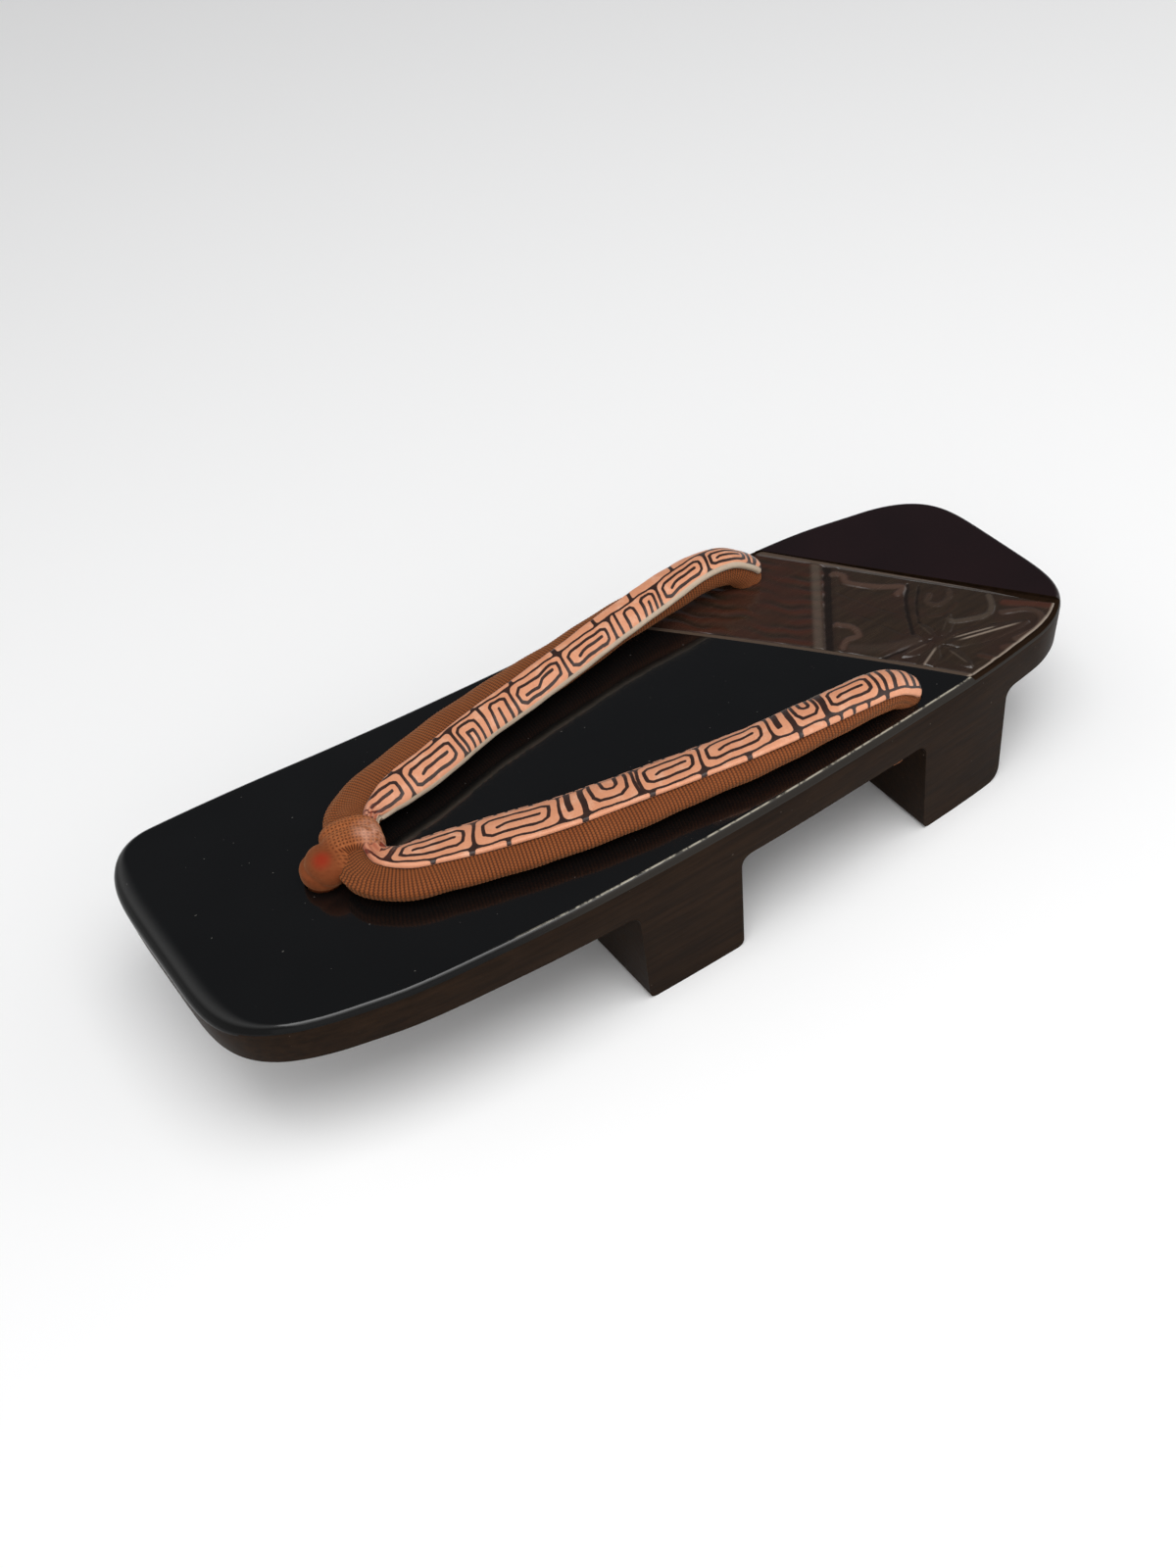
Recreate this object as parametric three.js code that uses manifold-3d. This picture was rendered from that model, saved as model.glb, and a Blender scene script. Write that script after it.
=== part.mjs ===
// A geta sandal for the left foot: a lacquered wooden board with two teeth, a padded V-shaped strap
// with a leather facing on each arm, and a woven front loop.
// Millimetres, +Z up. The toe points to -Y and the heel to +Y, and +X is the wearer's left,
// which is the outer side of the shoe. The origin is on the floor at the middle of the board.

import * as THREE from 'three';
import { mergeVertices } from 'three/addons/utils/BufferGeometryUtils.js';
import Module from 'manifold-3d';

const wasm = await Module();
wasm.setup();

// Board
const boardLength = 235;
const boardWidth = 86.4;
const boardHeight = 41; // floor to the top of the board
const boardThickness = 11.8; // between the teeth
const toeThickness = 11;
const heelThickness = 11.4;
const sideLean = 0.9; // how far the side comes in from the top edge down to the underside
const footLean = 2; // the same down to the floor
const arrisRadius = 1.8; // soft edge round the top
const toeRollDepth = 6.5; // how far back from the toe edge the top starts to roll down
const toeRollDrop = 3.4;
const toeCornerMedial = 15; // length of board that the corner rounds off
const toeCornerLateral = 24;
const heelCorner = 20;

// Teeth
const toothDepth = 28; // where it meets the board
const frontToothFromToe = 91.8; // toe edge to the front face of the front tooth
const rearToothFromHeel = 29.8; // heel edge to the back face of the rear tooth
const toothRake = 0.4; // how far each face of a tooth leans in at the floor
const toothFillet = 3.5; // hollow where a tooth meets the board
const toothEdge = 2.2; // rounded edge at the floor
const heelToothEdge = 4.5; // the larger one at the very back

// Holes for the strap
const frontHoleFromToe = 39;
const frontHoleMedial = 1.6; // off the middle, towards the big toe
const rearHoleFromHeel = 60;
const rearHoleShare = 0.72917; // between the two rear centres, as a share of the board's width
const rearHoleSpread = boardWidth * rearHoleShare;
const rearHoleLateral = 0.7; // their middle is off the board's, towards the outer side
const rearHoleLean = 4; // how far forward a rear hole comes out under the board
const holeDiameter = 9.4;

// Carved band across the heel, cut down a little from the top
const bandDepth = 0.8;
const bandFrontMedial = 13; // behind the middle of the board, along its medial edge
const bandFrontLateral = 77.5; // the same along its lateral edge
const bandRearMedial = 63;
const bandRearLateral = 122;
const bandBow = 2.6; // how far its front edge bows towards the heel

// Strap
const strapWidth = 16.4; // at its widest, near the front
const strapThickness = 5.9;
const strapRise = 4.3; // height of its middle above the board
const facingThickness = 1;
const knotRadius = 5;
const knotFlatness = 0.5; // its height as a share of its width
const gap = 0.3; // left between pieces that touch

// Front loop
const loopWidth = 9.6;
const loopTurn = -0.33; // radians that the loop is turned, to follow the front of the strap
const jointBehindHole = 8; // the middle of the joined arms, behind the front hole
const frontLead = 2.4; // how far the lateral arm leads the medial one at the front
const loopDepth = 14.2; // over the joined arms, from its rear edge to its front
const loopHeight = 9.6;
const bulgeWidth = 11.6;
const bulgeLength = 9.6;
const bulgeHeight = 8.6;
const bulgeLateral = 1.6; // its middle, beside the hole
const bulgeBehind = 0.8; // and behind it

const halfLength = boardLength / 2;
const halfWidth = boardWidth / 2;
const frontHole = new THREE.Vector2(-frontHoleMedial, -halfLength + frontHoleFromToe);
const rearHoleY = halfLength - rearHoleFromHeel;

// Half widths of the board from toe to heel.
// Columns: along (share of half the length), medial and lateral (shares of half the width).
const boardTable = [
  { along: -1.0, medial: 0.994, lateral: 0.78 },
  { along: -0.85, medial: 1.0, lateral: 0.822 },
  { along: -0.68, medial: 0.987, lateral: 0.922 },
  { along: -0.5, medial: 0.957, lateral: 0.968 },
  { along: -0.34, medial: 0.936, lateral: 0.993 },
  { along: -0.17, medial: 0.925, lateral: 1.0 },
  { along: 0.0, medial: 0.92, lateral: 0.997 },
  { along: 0.17, medial: 0.914, lateral: 0.983 },
  { along: 0.34, medial: 0.907, lateral: 0.957 },
  { along: 0.5, medial: 0.898, lateral: 0.927 },
  { along: 0.68, medial: 0.868, lateral: 0.886 },
  { along: 0.85, medial: 0.782, lateral: 0.817 },
  { along: 1.0, medial: 0.73, lateral: 0.745 },
];

// One arm of the strap, from the front, where the two arms join, back to its hole.
// Columns: along (share of the way from the joint to the hole), spread (share of half the hole spread),
// skew (share of the joint's own offset), lead (share of frontLead), riseMedial and riseLateral (shares
// of strapRise), width and thickness (shares of the strap's own), and the edges of the facing, the inner
// one and then the outer one on each arm, in half turns round the section, from its outer edge at 0 over
// the crest to its inner edge at 1.
const strapTable = [
  [0.0, 0.0, 1.0, 0.0, 1.12, 1.12, 0.62, 0.94, 0.98, 0.72, 0.74],
  [0.002, 0.152, 0.95, 0.6, 1.1, 1.08, 0.65, 0.94, 0.98, 0.7, 0.72],
  [0.017, 0.311, 0.57, 1.0, 1.05, 1.0, 0.74, 0.96, 1.0, 0.66, 0.66],
  [0.064, 0.432, 0.21, 0.9, 1.0, 0.92, 0.88, 1.0, 1.02, 0.58, 0.54],
  [0.117, 0.49, 0.15, 0.5, 0.97, 0.87, 0.96, 1.0, 1.02, 0.53, 0.46],
  [0.195, 0.571, 0.0, 0.2, 0.96, 0.85, 0.99, 1.0, 1.02, 0.52, 0.4],
  [0.311, 0.705, 0.0, 0.0, 0.98, 0.85, 0.963, 1.0, 1.01, 0.52, 0.38],
  [0.428, 0.79, 0.0, 0.0, 1.0, 0.87, 0.915, 1.0, 1.0, 0.5, 0.37],
  [0.545, 0.863, 0.0, 0.0, 1.08, 0.9, 0.84, 1.0, 0.98, 0.47, 0.34],
  [0.661, 0.935, 0.0, 0.0, 1.2, 0.96, 0.762, 1.03, 0.95, 0.42, 0.3],
  [0.778, 0.98, 0.0, 0.0, 1.34, 1.05, 0.707, 1.1, 0.9, 0.34, 0.25],
  [0.879, 1.003, 0.0, 0.0, 1.42, 1.1, 0.61, 1.2, 0.84, 0.22, 0.18],
  [0.942, 1.008, 0.0, 0.0, 1.2, 1.0, 0.56, 1.24, 0.82, 0.15, 0.14],
  [0.977, 1.003, 0.0, 0.0, 0.7, 0.62, 0.54, 1.24, 0.82, 0.12, 0.12],
].map(([along, spread, skew, lead, riseMedial, riseLateral, width, thickness, inner, outerMedial, outerLateral]) => (
  { along, spread, skew, lead, riseMedial, riseLateral, width, thickness, inner, outerMedial, outerLateral }
));

// A smooth line through the rows of a table, read at any place between its ends.
function readTable(table, key, column, at) {
  const last = table.length - 1;
  let i = 0;
  while (i < last - 1 && at > table[i + 1][key]) {
    i += 1;
  }
  const slope = (k) => {
    const a = table[Math.max(k - 1, 0)];
    const b = table[Math.min(k + 1, last)];
    return (b[column] - a[column]) / (b[key] - a[key]);
  };
  const span = table[i + 1][key] - table[i][key];
  const t = THREE.MathUtils.clamp((at - table[i][key]) / span, 0, 1);
  const rise = t * t * (3 - 2 * t);
  const start = (t * t * t - 2 * t * t + t) * span * slope(i);
  const end = (t * t * t - t * t) * span * slope(i + 1);
  return table[i][column] * (1 - rise) + table[i + 1][column] * rise + start + end;
}

// Solids

function solidOf(geometry) {
  const bare = geometry.index ? geometry.toNonIndexed() : geometry;
  const clean = new THREE.BufferGeometry();
  clean.setAttribute('position', bare.getAttribute('position'));
  const merged = mergeVertices(clean, 1e-4);
  const mesh = new wasm.Mesh({
    numProp: 3,
    vertProperties: new Float32Array(merged.getAttribute('position').array),
    triVerts: new Uint32Array(merged.index.array),
  });
  return new wasm.Manifold(mesh);
}

function geometryOf(solid) {
  const mesh = solid.getMesh();
  const geometry = new THREE.BufferGeometry();
  geometry.setAttribute('position', new THREE.BufferAttribute(mesh.vertProperties, 3));
  geometry.setIndex(new THREE.BufferAttribute(mesh.triVerts, 1));
  return geometry;
}

// The main body of a cut solid, without the slivers that the cuts leave beside it.
function mainBody(solid) {
  return solid.decompose().reduce((best, part) => (part.volume() > best.volume() ? part : best));
}

// A closed skin over rings of equally many points, anticlockwise about the way they go.
function loft(rings) {
  const count = rings[0].length;
  const positions = [];
  const push = (...points) => points.forEach((p) => positions.push(p.x, p.y, p.z));
  for (let k = 0; k + 1 < rings.length; k += 1) {
    for (let i = 0; i < count; i += 1) {
      const j = (i + 1) % count;
      push(rings[k][i], rings[k][j], rings[k + 1][j]);
      push(rings[k][i], rings[k + 1][j], rings[k + 1][i]);
    }
  }
  const first = rings[0];
  const last = rings[rings.length - 1];
  const middle = (ring) => ring.reduce((sum, p) => sum.add(p), new THREE.Vector3()).divideScalar(count);
  for (let i = 0; i < count; i += 1) {
    const j = (i + 1) % count;
    push(first[j], first[i], middle(first));
    push(last[i], last[j], middle(last));
  }
  const geometry = new THREE.BufferGeometry();
  geometry.setAttribute('position', new THREE.Float32BufferAttribute(positions, 3));
  return geometry;
}

// The board's outline, anticlockwise from above, from the middle of its lateral side.

function boardEdge(side, y) {
  return halfWidth * readTable(boardTable, 'along', side, y / halfLength);
}

function boardCorner(side, end, corner, sharpness, steps) {
  const sign = side === 'lateral' ? 1 : -1;
  const start = halfLength - corner;
  const points = [];
  for (let k = 0; k < steps; k += 1) {
    const angle = (Math.PI / 2) * (1 - Math.pow(1 - k / steps, 2));
    const y = end * (start + corner * Math.sin(angle));
    const x = sign * boardEdge(side, y) * Math.pow(Math.cos(angle), 2 / sharpness);
    points.push(new THREE.Vector2(x, y));
  }
  return points;
}

function boardSide(side, from, to, steps) {
  const sign = side === 'lateral' ? 1 : -1;
  const points = [];
  for (let k = 1; k < steps; k += 1) {
    const y = from + ((to - from) * k) / steps;
    points.push(new THREE.Vector2(sign * boardEdge(side, y), y));
  }
  return points;
}

function boardOutline() {
  const cornerSteps = 13;
  const sideSteps = 12;
  const softCorner = 4; // exponents of the corners' curves
  const heelSquareness = 5;
  const toeSquareness = 5.8;
  const heelStart = halfLength - heelCorner;
  const lateralToe = -(halfLength - toeCornerLateral);
  const medialToe = -(halfLength - toeCornerMedial);
  const heelLateral = boardCorner('lateral', 1, heelCorner, heelSquareness, cornerSteps);
  const heelMedial = boardCorner('medial', 1, heelCorner, heelSquareness, cornerSteps);
  const toeMedial = boardCorner('medial', -1, toeCornerMedial, toeSquareness, cornerSteps);
  const toeLateral = boardCorner('lateral', -1, toeCornerLateral, softCorner, cornerSteps);
  return [
    ...heelLateral,
    new THREE.Vector2(0, halfLength),
    ...heelMedial.reverse(),
    ...boardSide('medial', heelStart, medialToe, sideSteps),
    ...toeMedial,
    new THREE.Vector2(0, -halfLength),
    ...toeLateral.reverse(),
    ...boardSide('lateral', lateralToe, heelStart, sideSteps),
  ];
}

// The block seen from above: sides that lean in a little towards the floor, and a top edge that rolls
// over, deeper at the toe.
function planBlock() {
  const outline = boardOutline();
  const count = outline.length;
  const outward = outline.map((point, i) => {
    const before = outline[(i + count - 1) % count];
    const after = outline[(i + 1) % count];
    return new THREE.Vector2(after.y - before.y, before.x - after.x).normalize();
  });
  const toeShare = outward.map((n) => Math.pow(Math.max(0, -n.y), 4));
  const rollSteps = 5;
  const inset = (p, i, by) => p.clone().addScaledVector(outward[i], -by);
  const level = (by, z) => outline.map((p, i) => new THREE.Vector3(inset(p, i, by).x, inset(p, i, by).y, z));
  const rings = [level(footLean, 0), level(sideLean, boardHeight - boardThickness)];
  for (let k = 0; k <= rollSteps; k += 1) {
    const angle = (Math.PI / 2) * (k / rollSteps);
    rings.push(outline.map((p, i) => {
      const depth = THREE.MathUtils.lerp(arrisRadius, toeRollDepth, toeShare[i]);
      const drop = THREE.MathUtils.lerp(arrisRadius, toeRollDrop, toeShare[i]);
      const moved = inset(p, i, depth * (1 - Math.cos(angle)));
      return new THREE.Vector3(moved.x, moved.y, boardHeight - drop * (1 - Math.sin(angle)));
    }));
  }
  return solidOf(loft(rings));
}

// The block seen from the side, toe to the left: the underside, the two teeth and their soft edges.
function toothPath(shape, frontFace, rearEdge) {
  const under = boardHeight - boardThickness;
  const rearFace = frontFace + toothDepth;
  const frontFoot = frontFace + toothRake;
  const rearFoot = rearFace - toothRake;
  shape.lineTo(frontFace - toothFillet, under);
  shape.quadraticCurveTo(frontFace, under, frontFace, under - toothFillet);
  shape.lineTo(frontFoot, toothEdge);
  shape.quadraticCurveTo(frontFoot, 0, frontFoot + toothEdge, 0);
  shape.lineTo(rearFoot - rearEdge, 0);
  shape.quadraticCurveTo(rearFoot, 0, rearFoot, rearEdge);
  shape.lineTo(rearFace, under - toothFillet);
  shape.quadraticCurveTo(rearFace, under, rearFace + toothFillet, under);
}

function sideBlock() {
  const overhang = 5;
  const under = boardHeight - boardThickness;
  const frontTooth = -halfLength + frontToothFromToe;
  const rearTooth = halfLength - rearToothFromHeel - toothDepth;
  const toeCurve = frontTooth - toothFillet - frontToothFromToe / 3;
  const heelCurve = halfLength - rearToothFromHeel + toothFillet + rearToothFromHeel / 4;
  const shape = new THREE.Shape();
  shape.moveTo(-halfLength - overhang, boardHeight + overhang);
  shape.lineTo(-halfLength - overhang, boardHeight - toeThickness);
  shape.lineTo(-halfLength, boardHeight - toeThickness);
  shape.quadraticCurveTo(toeCurve, under, frontTooth - toothFillet, under);
  toothPath(shape, frontTooth, toothEdge);
  toothPath(shape, rearTooth, heelToothEdge);
  shape.quadraticCurveTo(heelCurve, under, halfLength, boardHeight - heelThickness);
  shape.lineTo(halfLength + overhang, boardHeight - heelThickness);
  shape.lineTo(halfLength + overhang, boardHeight + overhang);
  shape.closePath();
  const reach = boardWidth * 1.2;
  const geometry = new THREE.ExtrudeGeometry(shape, { depth: reach, bevelEnabled: false, curveSegments: 6 });
  geometry.translate(0, 0, -reach / 2);
  geometry.rotateX(Math.PI / 2);
  geometry.rotateZ(Math.PI / 2);
  return solidOf(geometry);
}

// A round bar between two points, for the holes and what is kept clear of them.
function bar(from, to, radius) {
  const segments = 24;
  const along = new THREE.Vector3().subVectors(to, from);
  const geometry = new THREE.CylinderGeometry(radius, radius, along.length(), segments);
  const turn = new THREE.Quaternion().setFromUnitVectors(new THREE.Vector3(0, 1, 0), along.clone().normalize());
  geometry.applyQuaternion(turn);
  geometry.translate((from.x + to.x) / 2, (from.y + to.y) / 2, (from.z + to.z) / 2);
  return solidOf(geometry);
}

// Where each hole meets the top and comes out below.
function hole(x, y, lean) {
  return {
    top: new THREE.Vector3(x, y, boardHeight),
    foot: new THREE.Vector3(x, y - lean, boardHeight - boardThickness),
  };
}

const holes = {
  front: hole(frontHole.x, frontHole.y, 0),
  lateral: hole(rearHoleLateral + rearHoleSpread / 2, rearHoleY, rearHoleLean),
  medial: hole(rearHoleLateral - rearHoleSpread / 2, rearHoleY, rearHoleLean),
};

function holeBar({ top, foot }, radius) {
  const spare = new THREE.Vector3().subVectors(top, foot);
  return bar(foot.clone().sub(spare), top.clone().add(spare), radius);
}

function bandRecess() {
  const front = (x) => THREE.MathUtils.mapLinear(x, -halfWidth, halfWidth, bandFrontMedial, bandFrontLateral);
  const rear = (x) => THREE.MathUtils.mapLinear(x, -halfWidth, halfWidth, bandRearMedial, bandRearLateral);
  const reach = halfWidth * 1.2;
  const shape = new THREE.Shape();
  shape.moveTo(-reach, front(-reach));
  shape.quadraticCurveTo(0, front(0) + 2 * bandBow, reach, front(reach));
  shape.lineTo(reach, rear(reach));
  shape.lineTo(-reach, rear(-reach));
  shape.closePath();
  const geometry = new THREE.ExtrudeGeometry(shape, { depth: bandDepth * 3, bevelEnabled: false });
  geometry.translate(0, 0, boardHeight - bandDepth);
  return solidOf(geometry);
}

function daiSolid() {
  let solid = planBlock().intersect(sideBlock());
  for (const each of Object.values(holes)) {
    solid = solid.subtract(holeBar(each, holeDiameter / 2));
  }
  return solid.subtract(bandRecess());
}

// The space that the board fills, grown by the gap, which the strap and the loop keep out of.
function boardSpace() {
  const depth = boardThickness + 2 * gap;
  const slab = new THREE.BoxGeometry(boardWidth * 2, boardLength * 2, depth);
  slab.translate(0, 0, boardHeight - boardThickness / 2);
  let solid = solidOf(slab);
  for (const each of Object.values(holes)) {
    solid = solid.subtract(holeBar(each, holeDiameter / 2 - gap));
  }
  return solid;
}

// The strap

const joint = new THREE.Vector3(frontHole.x, frontHole.y + jointBehindHole, boardHeight);

// Where a row of the strap's table lies on one side.
function rowPlace(side, row) {
  const sign = side === 'lateral' ? 1 : -1;
  const rise = side === 'lateral' ? row.riseLateral : row.riseMedial;
  return new THREE.Vector3(
    rearHoleLateral + sign * row.spread * (rearHoleSpread / 2) + (joint.x - rearHoleLateral) * row.skew,
    THREE.MathUtils.lerp(joint.y, rearHoleY, row.along) - sign * row.lead * frontLead,
    boardHeight + rise * strapRise,
  );
}

// Stations from the joint down one arm and through its hole, each with its place, its two directions,
// its half sizes and the edges of the facing.
function strapStations(side) {
  const sign = side === 'lateral' ? 1 : -1;
  const { top, foot } = holes[side];
  const down = new THREE.Vector3().subVectors(foot, top);
  const inHole = holeDiameter / 2 - gap;
  const rows = strapTable.map((row) => ({
    place: rowPlace(side, row),
    half: (row.width * strapWidth) / 2,
    thick: (row.thickness * strapThickness) / 2,
    inner: row.inner,
    outer: side === 'lateral' ? row.outerLateral : row.outerMedial,
  }));
  const tail = rows[rows.length - 1];
  const mouth = 0.04; // shares of the way down the hole
  const within = 0.4;
  const beyond = 1.1;
  for (const share of [mouth, within, beyond]) {
    rows.push({ ...tail, place: top.clone().addScaledVector(down, share), half: inHole, thick: inHole });
  }
  const smooth = (points) => new THREE.CatmullRomCurve3(points, false, 'catmullrom', 0.5);
  const path = smooth(rows.map((row) => row.place));
  const sizes = smooth(rows.map((row) => new THREE.Vector3(row.half, row.thick, 0)));
  const edges = smooth(rows.map((row) => new THREE.Vector3(row.inner, row.outer, 0)));
  const stepsPerRow = 3;
  const steps = (rows.length - 1) * stepsPerRow;
  const stations = [];
  let heading = new THREE.Vector3();
  for (let k = 0; k <= steps; k += 1) {
    const t = k / steps;
    const forward = path.getTangent(t);
    if (k < (strapTable.length - 1) * stepsPerRow) {
      heading = new THREE.Vector3(forward.x, forward.y, 0).normalize();
    }
    const across = new THREE.Vector3(sign * heading.y, -sign * heading.x, 0);
    const up = new THREE.Vector3().crossVectors(across, forward).multiplyScalar(sign).normalize();
    const size = sizes.getPoint(t);
    const edge = edges.getPoint(t);
    stations.push({
      place: path.getPoint(t),
      across,
      up,
      half: size.x,
      thick: size.y,
      inner: edge.x,
      outer: edge.y,
    });
  }
  return stations;
}

// A point of the strap's section, turns half turns round from its outer edge, with its skin moved out.
function strapPoint(station, turns, grow) {
  const squareness = 0.88;
  const c = Math.cos(Math.PI * turns);
  const s = Math.sin(Math.PI * turns);
  const a = Math.sign(c) * Math.pow(Math.abs(c), squareness) * (station.half + grow);
  const b = Math.sign(s) * Math.pow(Math.abs(s), squareness) * (station.thick + grow);
  return station.place.clone().addScaledVector(station.across, a).addScaledVector(station.up, b);
}

function facingOutwards(side, ring) {
  return side === 'lateral' ? ring.reverse() : ring;
}

function strapArm(side, grow) {
  const segments = 16;
  const rings = strapStations(side).map((station) => {
    const ring = [];
    for (let i = 0; i < segments; i += 1) {
      ring.push(strapPoint(station, (2 * i) / segments, grow));
    }
    return facingOutwards(side, ring);
  });
  return solidOf(loft(rings));
}

function ball(x, y, z, rx, ry, rz) {
  const geometry = new THREE.SphereGeometry(1, 16, 12);
  geometry.rotateX(Math.PI / 2);
  geometry.scale(rx, ry, rz);
  geometry.translate(x, y, z);
  return solidOf(geometry);
}

function knot({ top, foot }) {
  const z = boardHeight - boardThickness - gap - knotRadius * knotFlatness;
  const lean = (foot.y - top.y) / boardThickness;
  const y = foot.y + lean * (gap + knotRadius * knotFlatness);
  return ball(foot.x, y, z, knotRadius, knotRadius, knotRadius * knotFlatness);
}

function strapSolid() {
  const arms = strapArm('lateral', 0).add(strapArm('medial', 0));
  const knots = knot(holes.lateral).add(knot(holes.medial));
  return mainBody(arms.add(knots).subtract(boardSpace()));
}

// The facing: a thin strip laid over the crest of one arm, from the loop to its hole.
function facingSolid(side) {
  const segments = 8;
  const low = gap;
  const high = gap + facingThickness;
  const rings = strapStations(side).map((station) => {
    const ring = [];
    const turnsAt = (i) => THREE.MathUtils.lerp(station.outer, station.inner, i / segments);
    for (let i = 0; i <= segments; i += 1) {
      ring.push(strapPoint(station, turnsAt(i), high));
    }
    for (let i = segments; i >= 0; i -= 1) {
      ring.push(strapPoint(station, turnsAt(i), low));
    }
    return facingOutwards(side, ring);
  });
  const other = side === 'lateral' ? strapArm('medial', high + gap) : strapArm('lateral', low);
  const loopSpace = sleeve(loopWidth + 2 * gap, loopDepth + 2 * gap, loopHeight + 2 * gap);
  return mainBody(solidOf(loft(rings)).subtract(boardSpace()).subtract(other).subtract(loopSpace));
}

// The front loop

// The sleeve round the joined arms: a short tube, square to the front of the strap, with soft ends.
function sleeve(width, depth, height) {
  const segments = 28;
  const squareness = 0.84;
  const shares = [-1, -0.9, -0.6, -0.2, 0.2, 0.6, 0.9, 1];
  const endRound = 0.16; // how much thinner the tube is at its ends
  const rings = shares.map((share) => {
    const swell = 1 - endRound * Math.pow(Math.abs(share), 5);
    const ring = [];
    for (let i = 0; i < segments; i += 1) {
      const c = Math.cos((2 * Math.PI * i) / segments);
      const s = Math.sin((2 * Math.PI * i) / segments);
      const y = Math.sign(c) * Math.pow(Math.abs(c), squareness) * (depth / 2) * swell;
      const z = Math.sign(s) * Math.pow(Math.abs(s), squareness) * (height / 2) * swell;
      ring.push(new THREE.Vector3((share * width) / 2, y, z));
    }
    return ring;
  });
  const geometry = loft(rings);
  geometry.rotateZ(loopTurn);
  geometry.translate(joint.x, joint.y, joint.z + gap + loopHeight / 2);
  return solidOf(geometry);
}

function loopSolid() {
  const bulge = ball(frontHole.x + bulgeLateral, frontHole.y + bulgeBehind, boardHeight + gap + bulgeHeight / 2,
    bulgeWidth / 2, bulgeLength / 2, bulgeHeight / 2);
  const neckHeight = boardHeight + strapRise;
  const stem = bar(new THREE.Vector3(frontHole.x, frontHole.y, boardHeight - boardThickness - knotRadius),
    new THREE.Vector3(frontHole.x, frontHole.y, neckHeight), holeDiameter / 2 - gap);
  const strapSpace = strapArm('lateral', gap).add(strapArm('medial', gap));
  const loop = sleeve(loopWidth, loopDepth, loopHeight).add(bulge).add(stem).add(knot(holes.front));
  return mainBody(loop.subtract(boardSpace()).subtract(strapSpace));
}

// The assembly

function material(color, roughness) {
  return new THREE.MeshStandardMaterial({ color, roughness, metalness: 0 });
}

const lacquer = material(0x1b1a1a, 0.2);
const weave = material(0x8a4a22, 0.8);
const printedLeather = material(0xdb8f62, 0.55);

const pieces = [
  ['dai', daiSolid(), lacquer],
  ['hanao', strapSolid(), weave],
  ['facing_lateral', facingSolid('lateral'), printedLeather],
  ['facing_medial', facingSolid('medial'), printedLeather],
  ['maetsubo', loopSolid(), weave],
];

const group = new THREE.Group();
for (const [name, solid, finish] of pieces) {
  const mesh = new THREE.Mesh(geometryOf(solid), finish);
  mesh.name = name;
  group.add(mesh);
}

export default group;
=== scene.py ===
# The looks of a left geta sandal: a black lacquered board with a carved band, a padded strap with a
# printed facing on each arm, and a woven front loop. Lengths are in millimetres unless a name says else,
# x runs to the outer side of the shoe, y to the heel and z up.

import math

import bpy
import numpy as np
from mathutils import Matrix, Vector


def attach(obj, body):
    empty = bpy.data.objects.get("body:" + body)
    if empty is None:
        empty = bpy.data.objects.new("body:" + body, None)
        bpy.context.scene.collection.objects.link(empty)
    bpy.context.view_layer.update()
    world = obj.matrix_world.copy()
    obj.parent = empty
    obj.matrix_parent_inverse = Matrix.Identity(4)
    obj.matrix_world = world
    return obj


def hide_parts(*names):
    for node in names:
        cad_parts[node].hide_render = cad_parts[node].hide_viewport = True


mm = 0.001

# Settings that many nodes share
times = {"operation": "MULTIPLY"}
timesPlus = {"operation": "MULTIPLY_ADD"}
smooth = {"interpolation_type": "SMOOTHSTEP"}
colors = {"data_type": "RGBA"}


# Helpers for tables, meshes and materials

def readTable(table, column, at):
    keys = table[:, 0]
    last = len(keys) - 1
    i = int(np.clip(np.searchsorted(keys, at) - 1, 0, last - 1))

    def slope(k):
        a, b = max(k - 1, 0), min(k + 1, last)
        return (table[b, column] - table[a, column]) / (keys[b] - keys[a])

    span = keys[i + 1] - keys[i]
    t = min(max((at - keys[i]) / span, 0.0), 1.0)
    rise = t * t * (3 - 2 * t)
    start = (t ** 3 - 2 * t * t + t) * span * slope(i)
    end = (t ** 3 - t * t) * span * slope(i + 1)
    return table[i, column] * (1 - rise) + table[i + 1, column] * rise + start + end


def smoothstep(low, high, value):
    t = np.clip((value - low) / (high - low), 0.0, 1.0)
    return t * t * (3 - 2 * t)


def newObject(name, vertices, faces, smoothShaded=True):
    mesh = bpy.data.meshes.new(name)
    mesh.from_pydata((np.asarray(vertices, float) * mm).tolist(), [], [list(map(int, f)) for f in faces])
    mesh.update()
    mesh.validate()
    obj = bpy.data.objects.new(name, mesh)
    bpy.context.scene.collection.objects.link(obj)
    if smoothShaded:
        mesh.shade_smooth()
    return obj


def gridFaces(rows, columns, closed=False, start=0):
    faces = []
    wide = columns if closed else columns - 1
    for r in range(rows - 1):
        for c in range(wide):
            d = (c + 1) % columns
            faces.append((start + r * columns + c, start + r * columns + d,
                          start + (r + 1) * columns + d, start + (r + 1) * columns + c))
    return faces


def loftObject(name, rings):
    rings = [np.asarray(r, float) for r in rings]
    count = len(rings[0])
    faces = gridFaces(len(rings), count, closed=True)
    faces.append(tuple(range(count - 1, -1, -1)))
    faces.append(tuple((len(rings) - 1) * count + i for i in range(count)))
    return newObject(name, np.concatenate(rings), faces)


def boolean(obj, other, operation):
    modifier = obj.modifiers.new(operation.lower(), "BOOLEAN")
    modifier.operation = operation
    modifier.solver = "EXACT"
    modifier.object = other
    bake(obj)
    bpy.data.objects.remove(other)


def bake(obj):
    graph = bpy.context.evaluated_depsgraph_get()
    mesh = bpy.data.meshes.new_from_object(obj.evaluated_get(graph))
    obj.modifiers.clear()
    obj.data = mesh


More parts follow.
